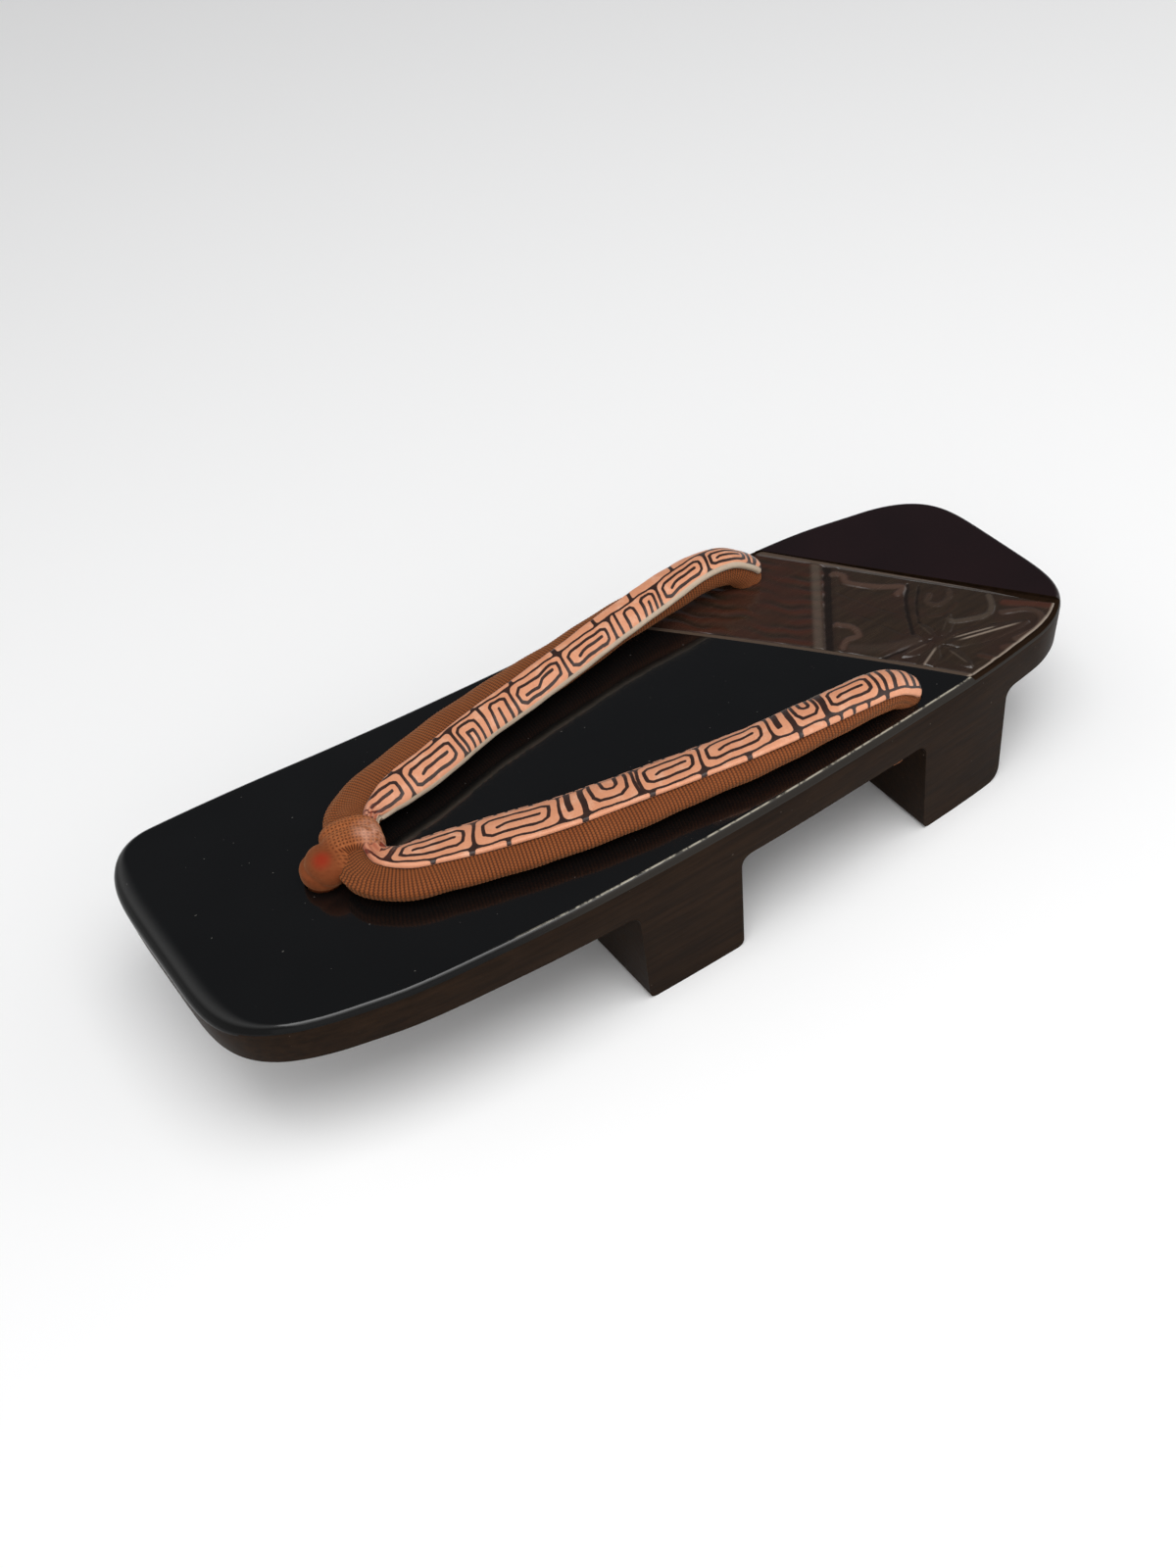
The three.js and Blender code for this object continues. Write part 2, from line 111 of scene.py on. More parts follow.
def pointAttribute(obj, name, values):
    attribute = obj.data.attributes.new(name, "FLOAT", "POINT")
    attribute.data.foreach_set("value", np.asarray(values, np.float32))


def uvFromPoints(obj, uv):
    layer = obj.data.uv_layers.new(name="UVMap")
    index = np.empty(len(obj.data.loops), np.int32)
    obj.data.loops.foreach_get("vertex_index", index)
    layer.data.foreach_set("uv", (np.asarray(uv, float)[index] * mm).astype(np.float32).ravel())


def stroke(x, y, ax, ay, bx, by):
    # Distance from a line between two points, and how far along it the nearest place is
    dx, dy = bx - ax, by - ay
    t = np.clip(((x - ax) * dx + (y - ay) * dy) / (dx * dx + dy * dy), 0, 1)
    return np.hypot(x - ax - t * dx, y - ay - t * dy), t


def catmull(points, steps):
    # Points along a smooth line through the given ones
    points = np.asarray(points, float)
    padded = np.concatenate([[2 * points[0] - points[1]], points, [2 * points[-1] - points[-2]]])
    made = []
    for i in range(len(points) - 1):
        a, b, c, d = padded[i:i + 4]
        for k in range(steps):
            t = k / steps
            made.append(0.5 * (2 * b + (c - a) * t + (2 * a - 5 * b + 4 * c - d) * t * t
                               + (3 * b - a - 3 * c + d) * t ** 3))
    made.append(points[-1])
    return np.array(made)


def srgb(code):
    parts = [int(code[i:i + 2], 16) / 255 for i in (0, 2, 4)]
    return tuple(c / 12.92 if c <= 0.04045 else ((c + 0.055) / 1.055) ** 2.4 for c in parts) + (1.0,)


def newMaterial(name):
    material = bpy.data.materials.new(name)
    material.use_nodes = True
    tree = material.node_tree
    tree.nodes.clear()
    output = tree.nodes.new("ShaderNodeOutputMaterial")
    shader = tree.nodes.new("ShaderNodeBsdfPrincipled")
    tree.links.new(shader.outputs[0], output.inputs[0])
    return material, tree, shader


def perMm(size):
    # The scale that gives a noise texture cells of this size
    return 1 / (size * mm)


def node(tree, kind, inputs=None, out=0, **settings):
    # Adds a node and returns one of its outputs; an input is a value or another node's output
    made = tree.nodes.new(kind)
    for key, value in settings.items():
        setattr(made, key, value)
    for key, value in (inputs or {}).items():
        if isinstance(value, bpy.types.NodeSocket):
            tree.links.new(value, made.inputs[key])
        else:
            made.inputs[key].default_value = value
    return made.outputs[out] if len(made.outputs) else made


def connect(tree, shader, **values):
    names = {"color": "Base Color", "roughness": "Roughness", "normal": "Normal",
             "specular": "Specular IOR Level", "coat": "Coat Weight",
             "coatRoughness": "Coat Roughness", "sheen": "Sheen Weight",
             "sheenRoughness": "Sheen Roughness", "sheenTint": "Sheen Tint"}
    for key, value in values.items():
        socket = shader.inputs[names[key]]
        if isinstance(value, bpy.types.NodeSocket):
            tree.links.new(value, socket)
        else:
            socket.default_value = value


# The board

board = {
    "length": 235.0,
    "width": 86.4,
    "height": 41.0,
    "thickness": 11.8,
    "toeThickness": 11.0,
    "heelThickness": 11.4,
    "sideLean": 0.9,
    "footLean": 2.0,
    "arris": 1.8,
    "rollSteps": 10,
    "toeRollDepth": 6.5,
    "toeRollDrop": 3.4,
    "toeCornerMedial": 15.0,
    "toeCornerLateral": 24.0,
    "heelCorner": 20.0,
    "toeSharpMedial": 5.8,
    "toeSharpLateral": 4.0,
    "heelSharp": 5.0,
    "cornerSteps": 40,
    "sideSteps": 60,
    "sharpAngle": 32,
    "toothDepth": 28.0,
    "frontTooth": 91.8,
    "rearTooth": 29.8,
    "toothRake": 0.4,
    "toothFillet": 3.5,
    "toothEdge": 2.2,
    "heelToothEdge": 4.5,
    "holeDiameter": 9.4,
}
holesAt = {
    "frontFromToe": 39.0,
    "frontMedial": 1.6,
    "rearFromHeel": 60.0,
    "rearSpread": 63.0,
    "rearLateral": 0.7,
    "rearLean": 4.0,
}
# Half widths of the board from toe to heel, as shares of half its width.
boardTable = np.array([
    (-1.0, 0.994, 0.78), (-0.85, 1.0, 0.822), (-0.68, 0.987, 0.922), (-0.5, 0.957, 0.968),
    (-0.34, 0.936, 0.993), (-0.17, 0.925, 1.0), (0.0, 0.92, 0.997), (0.17, 0.914, 0.983),
    (0.34, 0.907, 0.957), (0.5, 0.898, 0.927), (0.68, 0.868, 0.886), (0.85, 0.782, 0.817),
    (1.0, 0.73, 0.745),
])

halfLength = board["length"] / 2
halfWidth = board["width"] / 2
top = board["height"]
under = board["height"] - board["thickness"]


def boardEdge(side, y):
    return halfWidth * readTable(boardTable, 1 if side == "medial" else 2, y / halfLength)


def boardCorner(side, end, corner, sharpness, steps):
    sign = 1 if side == "lateral" else -1
    points = []
    for k in range(steps):
        angle = math.pi / 2 * (1 - (1 - k / steps) ** 2)
        y = end * (halfLength - corner + corner * math.sin(angle))
        points.append((sign * boardEdge(side, y) * math.cos(angle) ** (2 / sharpness), y))
    return points


def boardSide(side, start, end, steps):
    sign = 1 if side == "lateral" else -1
    ys = [start + (end - start) * k / steps for k in range(1, steps)]
    return [(sign * boardEdge(side, y), y) for y in ys]


def boardOutline():
    corner, side = board["cornerSteps"], board["sideSteps"]
    heelStart = halfLength - board["heelCorner"]
    heelLateral = boardCorner("lateral", 1, board["heelCorner"], board["heelSharp"], corner)
    heelMedial = boardCorner("medial", 1, board["heelCorner"], board["heelSharp"], corner)
    toeMedial = boardCorner("medial", -1, board["toeCornerMedial"], board["toeSharpMedial"], corner)
    toeLateral = boardCorner("lateral", -1, board["toeCornerLateral"], board["toeSharpLateral"], corner)
    heelX = heelLateral[-1][0]
    toeX = toeLateral[-1][0]
    heelLine = [(heelX * (1 - k / 6), halfLength) for k in range(1, 12)]
    toeLine = [(-toeX * (1 - k / 6), -halfLength) for k in range(1, 12)]
    points = (heelLateral + heelLine + heelMedial[::-1]
              + boardSide("medial", heelStart, -(halfLength - board["toeCornerMedial"]), side)
              + toeMedial + toeLine + toeLateral[::-1]
              + boardSide("lateral", -(halfLength - board["toeCornerLateral"]), heelStart, side))
    return np.array(points)


def planBlock():
    outline = boardOutline()
    before = np.roll(outline, 1, axis=0)
    after = np.roll(outline, -1, axis=0)
    outward = np.stack([after[:, 1] - before[:, 1], before[:, 0] - after[:, 0]], axis=1)
    outward /= np.linalg.norm(outward, axis=1)[:, None]
    toe = np.maximum(0, -outward[:, 1]) ** 4
    depth = board["arris"] + (board["toeRollDepth"] - board["arris"]) * toe
    drop = board["arris"] + (board["toeRollDrop"] - board["arris"]) * toe

    def ring(by, z):
        moved = outline - outward * np.reshape(by, (-1, 1))
        return np.column_stack([moved, np.broadcast_to(z, len(outline))])

    rings = [ring(np.full(len(outline), board["footLean"]), 0.0),
             ring(np.full(len(outline), board["sideLean"]), under)]
    steps = board["rollSteps"]
    for k in range(steps + 1):
        angle = math.pi / 2 * k / steps
        rings.append(ring(depth * (1 - math.cos(angle)), top - drop * (1 - math.sin(angle))))
    for further in (0.4, 3.0):
        rings.append(ring(depth + further, top))
    return loftObject("daiWood", rings)


def curveTo(points, control, end, steps=10):
    start = np.array(points[-1])
    control, end = np.array(control), np.array(end)
    for k in range(1, steps + 1):
        t = k / steps
        points.append(tuple((1 - t) ** 2 * start + 2 * t * (1 - t) * control + t * t * end))


def toothPath(points, front, rearEdge):
    fillet, edge, rake = board["toothFillet"], board["toothEdge"], board["toothRake"]
    rear = front + board["toothDepth"]
    points.append((front - fillet, under))
    curveTo(points, (front, under), (front, under - fillet))
    points.append((front + rake, edge))
    curveTo(points, (front + rake, 0), (front + rake + edge, 0))
    points.append((rear - rake - rearEdge, 0))
    curveTo(points, (rear - rake, 0), (rear - rake, rearEdge))
    points.append((rear, under - fillet))
    curveTo(points, (rear, under), (rear + fillet, under))


def sideBlock():
    over = 5.0
    front = -halfLength + board["frontTooth"]
    rear = halfLength - board["rearTooth"] - board["toothDepth"]
    toeZ = top - board["toeThickness"]
    heelZ = top - board["heelThickness"]
    points = [(-halfLength - over, top + over), (-halfLength - over, toeZ), (-halfLength, toeZ)]
    curveTo(points, (front - board["toothFillet"] - board["frontTooth"] / 3, under),
             (front - board["toothFillet"], under))
    toothPath(points, front, board["toothEdge"])
    toothPath(points, rear, board["heelToothEdge"])
    curveTo(points, (halfLength - board["rearTooth"] + board["toothFillet"] + board["rearTooth"] / 4, under),
             (halfLength, heelZ))
    points += [(halfLength + over, heelZ), (halfLength + over, top + over)]
    reach = halfWidth * 1.2
    rings = [[(x, y, z) for y, z in points] for x in (-reach, reach)]
    return loftObject("sideBlock", rings)


def holeEnds(name):
    if name == "front":
        x, y, lean = -holesAt["frontMedial"], -halfLength + holesAt["frontFromToe"], 0.0
    else:
        sign = 1 if name == "lateral" else -1
        x = holesAt["rearLateral"] + sign * holesAt["rearSpread"] / 2
        y, lean = halfLength - holesAt["rearFromHeel"], holesAt["rearLean"]
    return np.array([x, y, top]), np.array([x, y - lean, under])


def barObject(name, start, end, radius, count=48):
    direction = (end - start) / np.linalg.norm(end - start)
    a = np.cross(direction, [1.0, 0.0, 0.0])
    a /= np.linalg.norm(a)
    b = np.cross(direction, a)
    turns = np.linspace(0, 2 * math.pi, count, endpoint=False)
    circle = radius * (np.cos(turns)[:, None] * a + np.sin(turns)[:, None] * b)
    return loftObject(name, [start + circle, end + circle])


# In each lacquer, the grey for the outer rounded edge is a painted sheen, and the pale colour is a painted
# highlight line along it
lacquers = {
    "lacquerTop": {"dark": "080808", "light": "0f0f0f", "brush": 0.5, "stretch": 0.035, "cloud": 26.0,
                   "roughness": 0.09, "brushRoughness": 0.1, "fine": 0.35, "dust": 0.3,
                   "arrisSheen": "2a2622", "arrisSheenShare": 0.85, "dullRoughness": 0.3,
                   "rubbed": "b4ad9c", "arrisHighlightShare": 1.0, "coat": 0.6, "coatRoughness": 0.05},
    "lacquerHeel": {"dark": "120708", "light": "1e0d0e", "brush": 0.6, "stretch": 0.05, "cloud": 22.0,
                    "roughness": 0.12, "brushRoughness": 0.12, "fine": 0.0, "dust": 0.0,
                    "arrisSheen": "2f2a26", "arrisSheenShare": 0.6, "dullRoughness": 0.0,
                    "rubbed": "8f8a7c", "arrisHighlightShare": 0.7, "coat": 0.5, "coatRoughness": 0.06},
}
sideWood = {"dark": "1b120b", "light": "281b11", "patch": "170f0a", "grain": 1.6, "fine": 0.35,
            "cloud": 17.0}
dust = {"size": 1.1, "from": 0.79, "to": 0.82, "onLacquer": "8a8680", "onWood": "8a7d70", "woodShare": 0.25}


def arrisSheenAndHighlight(tree, where):
    # Outer upper edge, on the outer side only: the rounded strip, which is made rougher and painted with a
    # grey sheen, a pale painted highlight line along it broken up by chips, and how level it is
    x, y, _ = node(tree, "ShaderNodeSeparateXYZ", {0: where}).node.outputs
    normal = node(tree, "ShaderNodeNewGeometry", out="Normal")
    tilt = node(tree, "ShaderNodeSeparateXYZ", {0: normal}, 2)
    lateral = node(tree, "ShaderNodeMapRange", {0: x, 1: 28 * mm, 2: 34 * mm}, **smooth)
    behindToe = node(tree, "ShaderNodeMapRange", {0: y, 1: -65 * mm, 2: -30 * mm}, **smooth)
    outer = node(tree, "ShaderNodeMath", {0: lateral, 1: behindToe}, **times)
    # The rounded strip on the outer side, which gets a painted sheen and a rougher finish
    turned = node(tree, "ShaderNodeMapRange", {0: tilt, 1: 0.965, 2: 0.9}, **smooth)
    strip = node(tree, "ShaderNodeMath", {0: turned, 1: outer}, **times)
    chips = node(tree, "ShaderNodeTexNoise",
                 {"Vector": where, "Scale": perMm(2.2), "Detail": 4.0, "Roughness": 0.6})
    rubbed = node(tree, "ShaderNodeMapRange", {0: chips, 1: 0.4, 2: 0.56, 3: 0.1, 4: 0.8}, **smooth)
    # A thin band across the strip, broken up by chips: where the painted highlight line runs
    rising = node(tree, "ShaderNodeMapRange", {0: tilt, 1: 0.90, 2: 0.95}, **smooth)
    falling = node(tree, "ShaderNodeMapRange", {0: tilt, 1: 0.995, 2: 0.975}, **smooth)
    line = node(tree, "ShaderNodeMath", {0: rising, 1: falling}, **times)
    line = node(tree, "ShaderNodeMath", {0: line, 1: outer}, **times)
    line = node(tree, "ShaderNodeMath", {0: line, 1: rubbed}, **times)
    level = node(tree, "ShaderNodeMapRange", {0: tilt, 1: 0.8, 2: 0.99}, **smooth)
    return strip, line, level


def makeLacquer(name):
    # Brushed and polished black lacquer: glossy, with faint brush lines along the board and a little dust;
    # on the outer side its rounded edge is rougher and painted grey as a painted sheen, with a pale painted
    # highlight line along it broken up like rubbed wear; thinner and reddish at the heel
    given = lacquers[name]
    material, tree, shader = newMaterial(name)
    where = node(tree, "ShaderNodeTexCoord", out="Object")
    drawn = node(tree, "ShaderNodeMapping", {0: where, 3: (1.0, given["stretch"], 1.0)})
    brush = node(tree, "ShaderNodeTexNoise",
                 {"Vector": drawn, "Scale": perMm(given["brush"]), "Detail": 4.0, "Roughness": 0.6})
    cloud = node(tree, "ShaderNodeTexNoise",
                 {"Vector": where, "Scale": perMm(given["cloud"]), "Detail": 2.0, "Roughness": 0.55})
    fine = node(tree, "ShaderNodeTexNoise",
                {"Vector": where, "Scale": perMm(0.9), "Detail": 3.0, "Roughness": 0.55})
    grit = node(tree, "ShaderNodeTexNoise",
                {"Vector": where, "Scale": perMm(dust["size"]), "Detail": 1.0, "Roughness": 0.55})
    specks = node(tree, "ShaderNodeMapRange",
                  {0: grit, 1: dust["from"], 2: dust["to"], 4: given["dust"]}, **smooth)
    color = node(tree, "ShaderNodeMix",
                 {0: cloud, 6: srgb(given["dark"]), 7: srgb(given["light"])}, 2, **colors)
    color = node(tree, "ShaderNodeMix", {0: specks, 6: color, 7: srgb(dust["onLacquer"])}, 2, **colors)
    strip, line, level = arrisSheenAndHighlight(tree, where)
    # Painted sheen: the outer rounded edge turned grey
    arrisSheen = node(tree, "ShaderNodeMath", {0: strip, 1: given["arrisSheenShare"]}, **times)
    color = node(tree, "ShaderNodeMix", {0: arrisSheen, 6: color, 7: srgb(given["arrisSheen"])}, 2, **colors)
    # Painted highlight: a pale line along the outer rounded edge
    pale = node(tree, "ShaderNodeMath", {0: line, 1: given["arrisHighlightShare"]}, **times)
    color = node(tree, "ShaderNodeMix", {0: pale, 6: color, 7: srgb(given["rubbed"])}, 2, **colors)
    rough = node(tree, "ShaderNodeMath",
                 {0: brush, 1: given["brushRoughness"], 2: given["roughness"]}, **timesPlus)
    rough = node(tree, "ShaderNodeMath", {0: specks, 1: rough}, operation="ADD")
    rough = node(tree, "ShaderNodeMath", {0: strip, 1: given["dullRoughness"], 2: rough}, **timesPlus)
    height = node(tree, "ShaderNodeMath", {0: fine, 1: given["fine"], 2: brush}, **timesPlus)
    normal = node(tree, "ShaderNodeBump", {"Height": height, "Distance": 0.012 * mm, "Strength": 1.0})
    specular = node(tree, "ShaderNodeMath", {0: level, 1: 0.38, 2: 0.12}, **timesPlus)
    coat = node(tree, "ShaderNodeMath", {0: level, 1: given["coat"]}, **times)
    connect(tree, shader, color=color, roughness=rough, normal=normal, specular=specular, coat=coat,
            coatRoughness=given["coatRoughness"])
    return material


def darkWood():
    # Thin dark lacquer wiped on planed wood, on the sides, the teeth and below: satin, with the grain
    # running along the board
    material, tree, shader = newMaterial("darkWoodSide")
    where = node(tree, "ShaderNodeTexCoord", out="Object")
    drawn = node(tree, "ShaderNodeMapping", {0: where, 3: (1.0, 0.06, 1.0)})
    drawnFine = node(tree, "ShaderNodeMapping", {0: where, 3: (1.0, 0.12, 1.0)})
    grain = node(tree, "ShaderNodeTexNoise",
                 {"Vector": drawn, "Scale": perMm(sideWood["grain"]), "Detail": 5.0, "Roughness": 0.62})
    fine = node(tree, "ShaderNodeTexNoise",
                {"Vector": drawnFine, "Scale": perMm(sideWood["fine"]), "Detail": 3.0, "Roughness": 0.6})
    cloud = node(tree, "ShaderNodeTexNoise",
                 {"Vector": where, "Scale": perMm(sideWood["cloud"]), "Detail": 2.5, "Roughness": 0.55})
    grit = node(tree, "ShaderNodeTexNoise",
                {"Vector": where, "Scale": perMm(dust["size"]), "Detail": 1.0, "Roughness": 0.55})
    tone = node(tree, "ShaderNodeMapRange", {0: grain, 1: 0.3, 2: 0.72}, **smooth)
    patch = node(tree, "ShaderNodeMapRange", {0: cloud, 1: 0.35, 2: 0.7, 4: 0.4}, **smooth)
    specks = node(tree, "ShaderNodeMapRange",
                  {0: grit, 1: dust["from"], 2: dust["to"], 4: dust["woodShare"]}, **smooth)
    color = node(tree, "ShaderNodeMix",
                 {0: tone, 6: srgb(sideWood["dark"]), 7: srgb(sideWood["light"])}, 2, **colors)
    color = node(tree, "ShaderNodeMix", {0: patch, 6: color, 7: srgb(sideWood["patch"])}, 2, **colors)
    color = node(tree, "ShaderNodeMix", {0: specks, 6: color, 7: srgb(dust["onWood"])}, 2, **colors)
    rough = node(tree, "ShaderNodeMath", {0: grain, 1: 0.16, 2: 0.34}, **timesPlus)
    height = node(tree, "ShaderNodeMath", {0: fine, 1: 0.5, 2: grain}, **timesPlus)
    normal = node(tree, "ShaderNodeBump", {"Height": height, "Distance": 0.04 * mm, "Strength": 1.0})
    connect(tree, shader, color=color, roughness=rough, normal=normal, specular=0.03)
    return material


def makeBoard():
    dai = planBlock()
    boolean(dai, sideBlock(), "INTERSECT")
    for name in ("front", "lateral", "medial"):
        upper, lower = holeEnds(name)
        boolean(dai, barObject("holeBar", lower * 2 - upper, upper * 2 - lower, board["holeDiameter"] / 2),
                "DIFFERENCE")
    boolean(dai, bandCutter(), "DIFFERENCE")
    mesh = dai.data
    mesh.shade_smooth()
    mesh.set_sharp_from_angle(angle=math.radians(board["sharpAngle"]))
    mesh.materials.clear()
    for material in (makeLacquer("lacquerTop"), makeLacquer("lacquerHeel"), darkWood()):
        mesh.materials.append(material)
    onTop, onHeel, onSide = range(3)  # the order of the materials
    for face in mesh.polygons:
        x, y, z = (c / mm for c in face.center)
        upward = face.normal.z > 0.12 and z > top - board["toeRollDrop"] - 0.2
        if not upward:
            face.material_index = onSide
        elif y > bandRear(x):
            face.material_index = onHeel
        elif z < top - band["depth"] + 0.1 and bandFront(x) < y and face.normal.z > 0.97:
            face.material_index = onSide
        else:
            face.material_index = onTop
    return dai


# The carved band

band = {
    "depth": 0.8,
    "frontMedial": 13.0,
    "frontLateral": 77.5,
    "rearMedial": 63.0,
    "rearLateral": 122.0,
    "bow": 2.6,
    "cells": (300, 170),
    "sideGap": 0.15,
    "border": 1.8,
    "borderHeight": 0.6,
    "grooveDepth": 0.24,
    "grooveWidth": 0.28,
    "plain": 0.3,
    "lowest": 0.04,
    "highest": 0.78,
    "heart": (21.8, 78.2),
    "heartRadius": 1.8,
}
# Raised and cut strokes of the carving: (points, half width, height, pale, red)
carving = (
    (((-24.3, 75.6), (5.6, 53.4)), 1.5, 0.26, 0.3, 0.0),
    (((-20.2, 76.2), (8.2, 54.8)), 1.0, -0.4, 0.0, 0.0),
    (((-18.2, 77.6), (9.8, 56.2)), 0.6, 0.16, 0.05, 0.0),
    (((-16.9, 75.5), (-14.6, 76.9), (-11.3, 76.1), (-4.9, 81.0), (-1.1, 85.4),
      (0.4, 82.6)), 1.1, 0.3, 0.23, 0.5),
    (((0.4, 63.1), (3.6, 65.4), (7.3, 64.5), (6.8, 61.4), (8.6, 58.6)), 1.0, 0.28, 0.23, 0.5),
    (((-10.0, 71.6), (2.0, 75.6), (9.4, 78.8)), 0.5, -0.14, 0.0, 0.0),
    (((-7.0, 67.8), (6.0, 71.4), (14.0, 73.4)), 0.5, -0.12, 0.0, 0.0),
    (((-12.6, 73.8), (-2.6, 79.8)), 0.5, -0.12, 0.0, 0.0),
    (((-1.0, 87.1), (5.0, 81.6), (15.2, 75.2)), 0.55, -0.32, 0.0, 0.0),
    (((1.4, 88.8), (7.4, 83.0), (16.6, 76.8)), 0.45, -0.22, 0.0, 0.0),
    (((18.3, 74.0), (15.0, 66.0), (10.4, 60.4)), 1.9, 0.22, 0.14, 0.0),
    (((19.4, 74.6), (17.9, 62.4)), 0.5, -0.26, 0.0, 0.0),
    (((5.9, 88.4), (7.9, 85.9), (10.6, 87.6), (10.0, 91.0), (7.8, 93.2)), 0.9, 0.26, 0.14, 0.1),
    (((12.6, 82.6), (14.4, 86.6), (12.8, 91.4)), 0.7, 0.18, 0.05, 0.1),
    (((17.6, 85.4), (19.3, 87.9), (21.4, 93.5), (19.6, 97.0), (15.9, 99.3)), 0.95, 0.3, 0.25, 0.0),
    (((23.0, 97.2), (26.2, 102.8), (30.2, 103.8), (33.2, 99.6), (33.0, 92.8)), 1.0, 0.3, 0.18, 0.2),
    (((20.4, 100.4), (25.6, 105.4), (31.0, 110.0)), 1.2, 0.26, 0.09, 0.8),
    (((33.6, 88.4), (36.6, 95.4), (36.2, 103.4)), 1.1, 0.22, 0.14, 0.3),
    (((32.4, 82.0), (37.0, 84.6)), 0.9, 0.2, 0.09, 0.3),
)
# Petals of the carved flower: (from, to, half width, how pale the crest is worn)
petals = (
    ((22.4, 79.4), (26.8, 93.4), 2.7, 1.0), ((24.0, 78.6), (29.8, 99.4), 2.9, 1.0),
    ((22.6, 77.4), (27.4, 67.6), 2.5, 0.8),
    ((20.6, 79.6), (15.4, 86.8), 2.2, 0.2), ((20.4, 77.8), (13.2, 78.6), 2.0, 0.2), ((21.0, 76.4),
    (20.6, 67.6), 2.1, 0.3),
    ((24.6, 77.4), (34.0, 77.6), 2.4, 0.3),
)


def bandFront(x):
    share = (x + halfWidth) / board["width"]
    straight = band["frontMedial"] + (band["frontLateral"] - band["frontMedial"]) * share
    return straight + band["bow"] * (1 - (x / (halfWidth * 1.2)) ** 2)


def bandRear(x):
    share = (x + halfWidth) / board["width"]
    return band["rearMedial"] + (band["rearLateral"] - band["rearMedial"]) * share


def bandCutter():
    reach = halfWidth * 1.2
    xs = np.linspace(-reach, reach, 33)
    plan = [(x, bandFront(x)) for x in xs] + [(x, bandRear(x)) for x in xs[::-1]]
    return loftObject("bandCutter", [[(x, y, z) for x, y in plan] for z in (top - band["depth"], top + 3)])


def heelLimit(y):
    # The lateral half width of the board at y, with its heel corner
    start = halfLength - board["heelCorner"]
    edge = boardEdge("lateral", min(y, halfLength))
    if y <= start:
        return edge
    share = min((y - start) / board["heelCorner"], 0.999)
    return edge * math.cos(math.asin(share)) ** 0.4


def pathDistance(x, y, points):
    best = np.full(np.shape(x), 1e3)
    if len(points) > 2:
        points = catmull(points, 5)
    for (ax, ay), (bx, by) in zip(points[:-1], points[1:]):
        best = np.minimum(best, stroke(x, y, ax, ay, bx, by)[0])
    return best


def bandRelief(x, y):
    # Height over the floor of the band in millimetres, and how pale and how red each place is
    lean = math.atan2(band["frontLateral"] - band["frontMedial"], board["width"])
    over = (y - x * math.tan(lean)) * math.cos(lean)
    along = x * math.cos(lean) + y * math.sin(lean)
    wave = np.sin(over * 1.55 + 0.9 * np.sin(along * 0.33) + 0.5 * np.sin(along * 0.71 + over * 0.4))
    wave = wave * (0.55 + 0.45 * np.sin(along * 0.27 + 1.3 * np.sin(over * 0.6)))
    split = (y - 78.4) + (x + 21.0) * (24.7 / 25.1)
    gouged = 1 - smoothstep(-1.0, 1.5, split)
    height = band["plain"] + wave * (0.05 + 0.11 * gouged)
    pale = np.zeros(x.shape)
    red = 0.55 * gouged * smoothstep(0.1, 0.9, wave * 0.5 + 0.5)
    for (ax, ay), (bx, by), half, worn in petals:
        distance, t = stroke(x, y, ax, ay, bx, by)
        wide = half * np.sqrt(np.clip(np.sin(math.pi * np.clip(t * 0.92 + 0.04, 0, 1) ** 0.85), 0.02, 1))
        inside = np.clip(1 - distance / wide, 0, 1)
        raised = 0.22 + 0.5 * inside ** 0.7
        height = np.where(inside > 0, raised, height - 0.1 * np.exp(-((distance - wide) / 0.5) ** 2))
        crest = np.exp(-(distance / 0.33) ** 2) * smoothstep(0.08, 0.3, t) * (1 - smoothstep(0.75, 1.0, t))
        pale = np.maximum(pale, worn * crest)
    for points, half, rise, paler, redder in carving:
        distance = pathDistance(x, y, points)
        shape = np.exp(-(distance / half) ** 4)
        height = height + rise * shape
        pale = np.maximum(pale, paler * shape)
        red = np.maximum(red * (1 - 0.5 * shape), redder * shape)
    radius = band["heartRadius"]
    heart = np.hypot(x - band["heart"][0], y - band["heart"][1])
    dome = 0.4 + 0.25 * np.sqrt(np.clip(1 - (heart / radius) ** 2, 0, 1))
    height = np.where(heart < radius, dome, height)
    return height, pale, red


# The near-black colour is painted shade in the low cuts of the carving
bandFinish = {"dark": "261d16", "light": "33271d", "patch": "33201b", "red": "4a2419", "border": "4f4034",
              "worn": "85776a", "deep": "120d0b", "grain": 1.2, "cloud": 9.0}


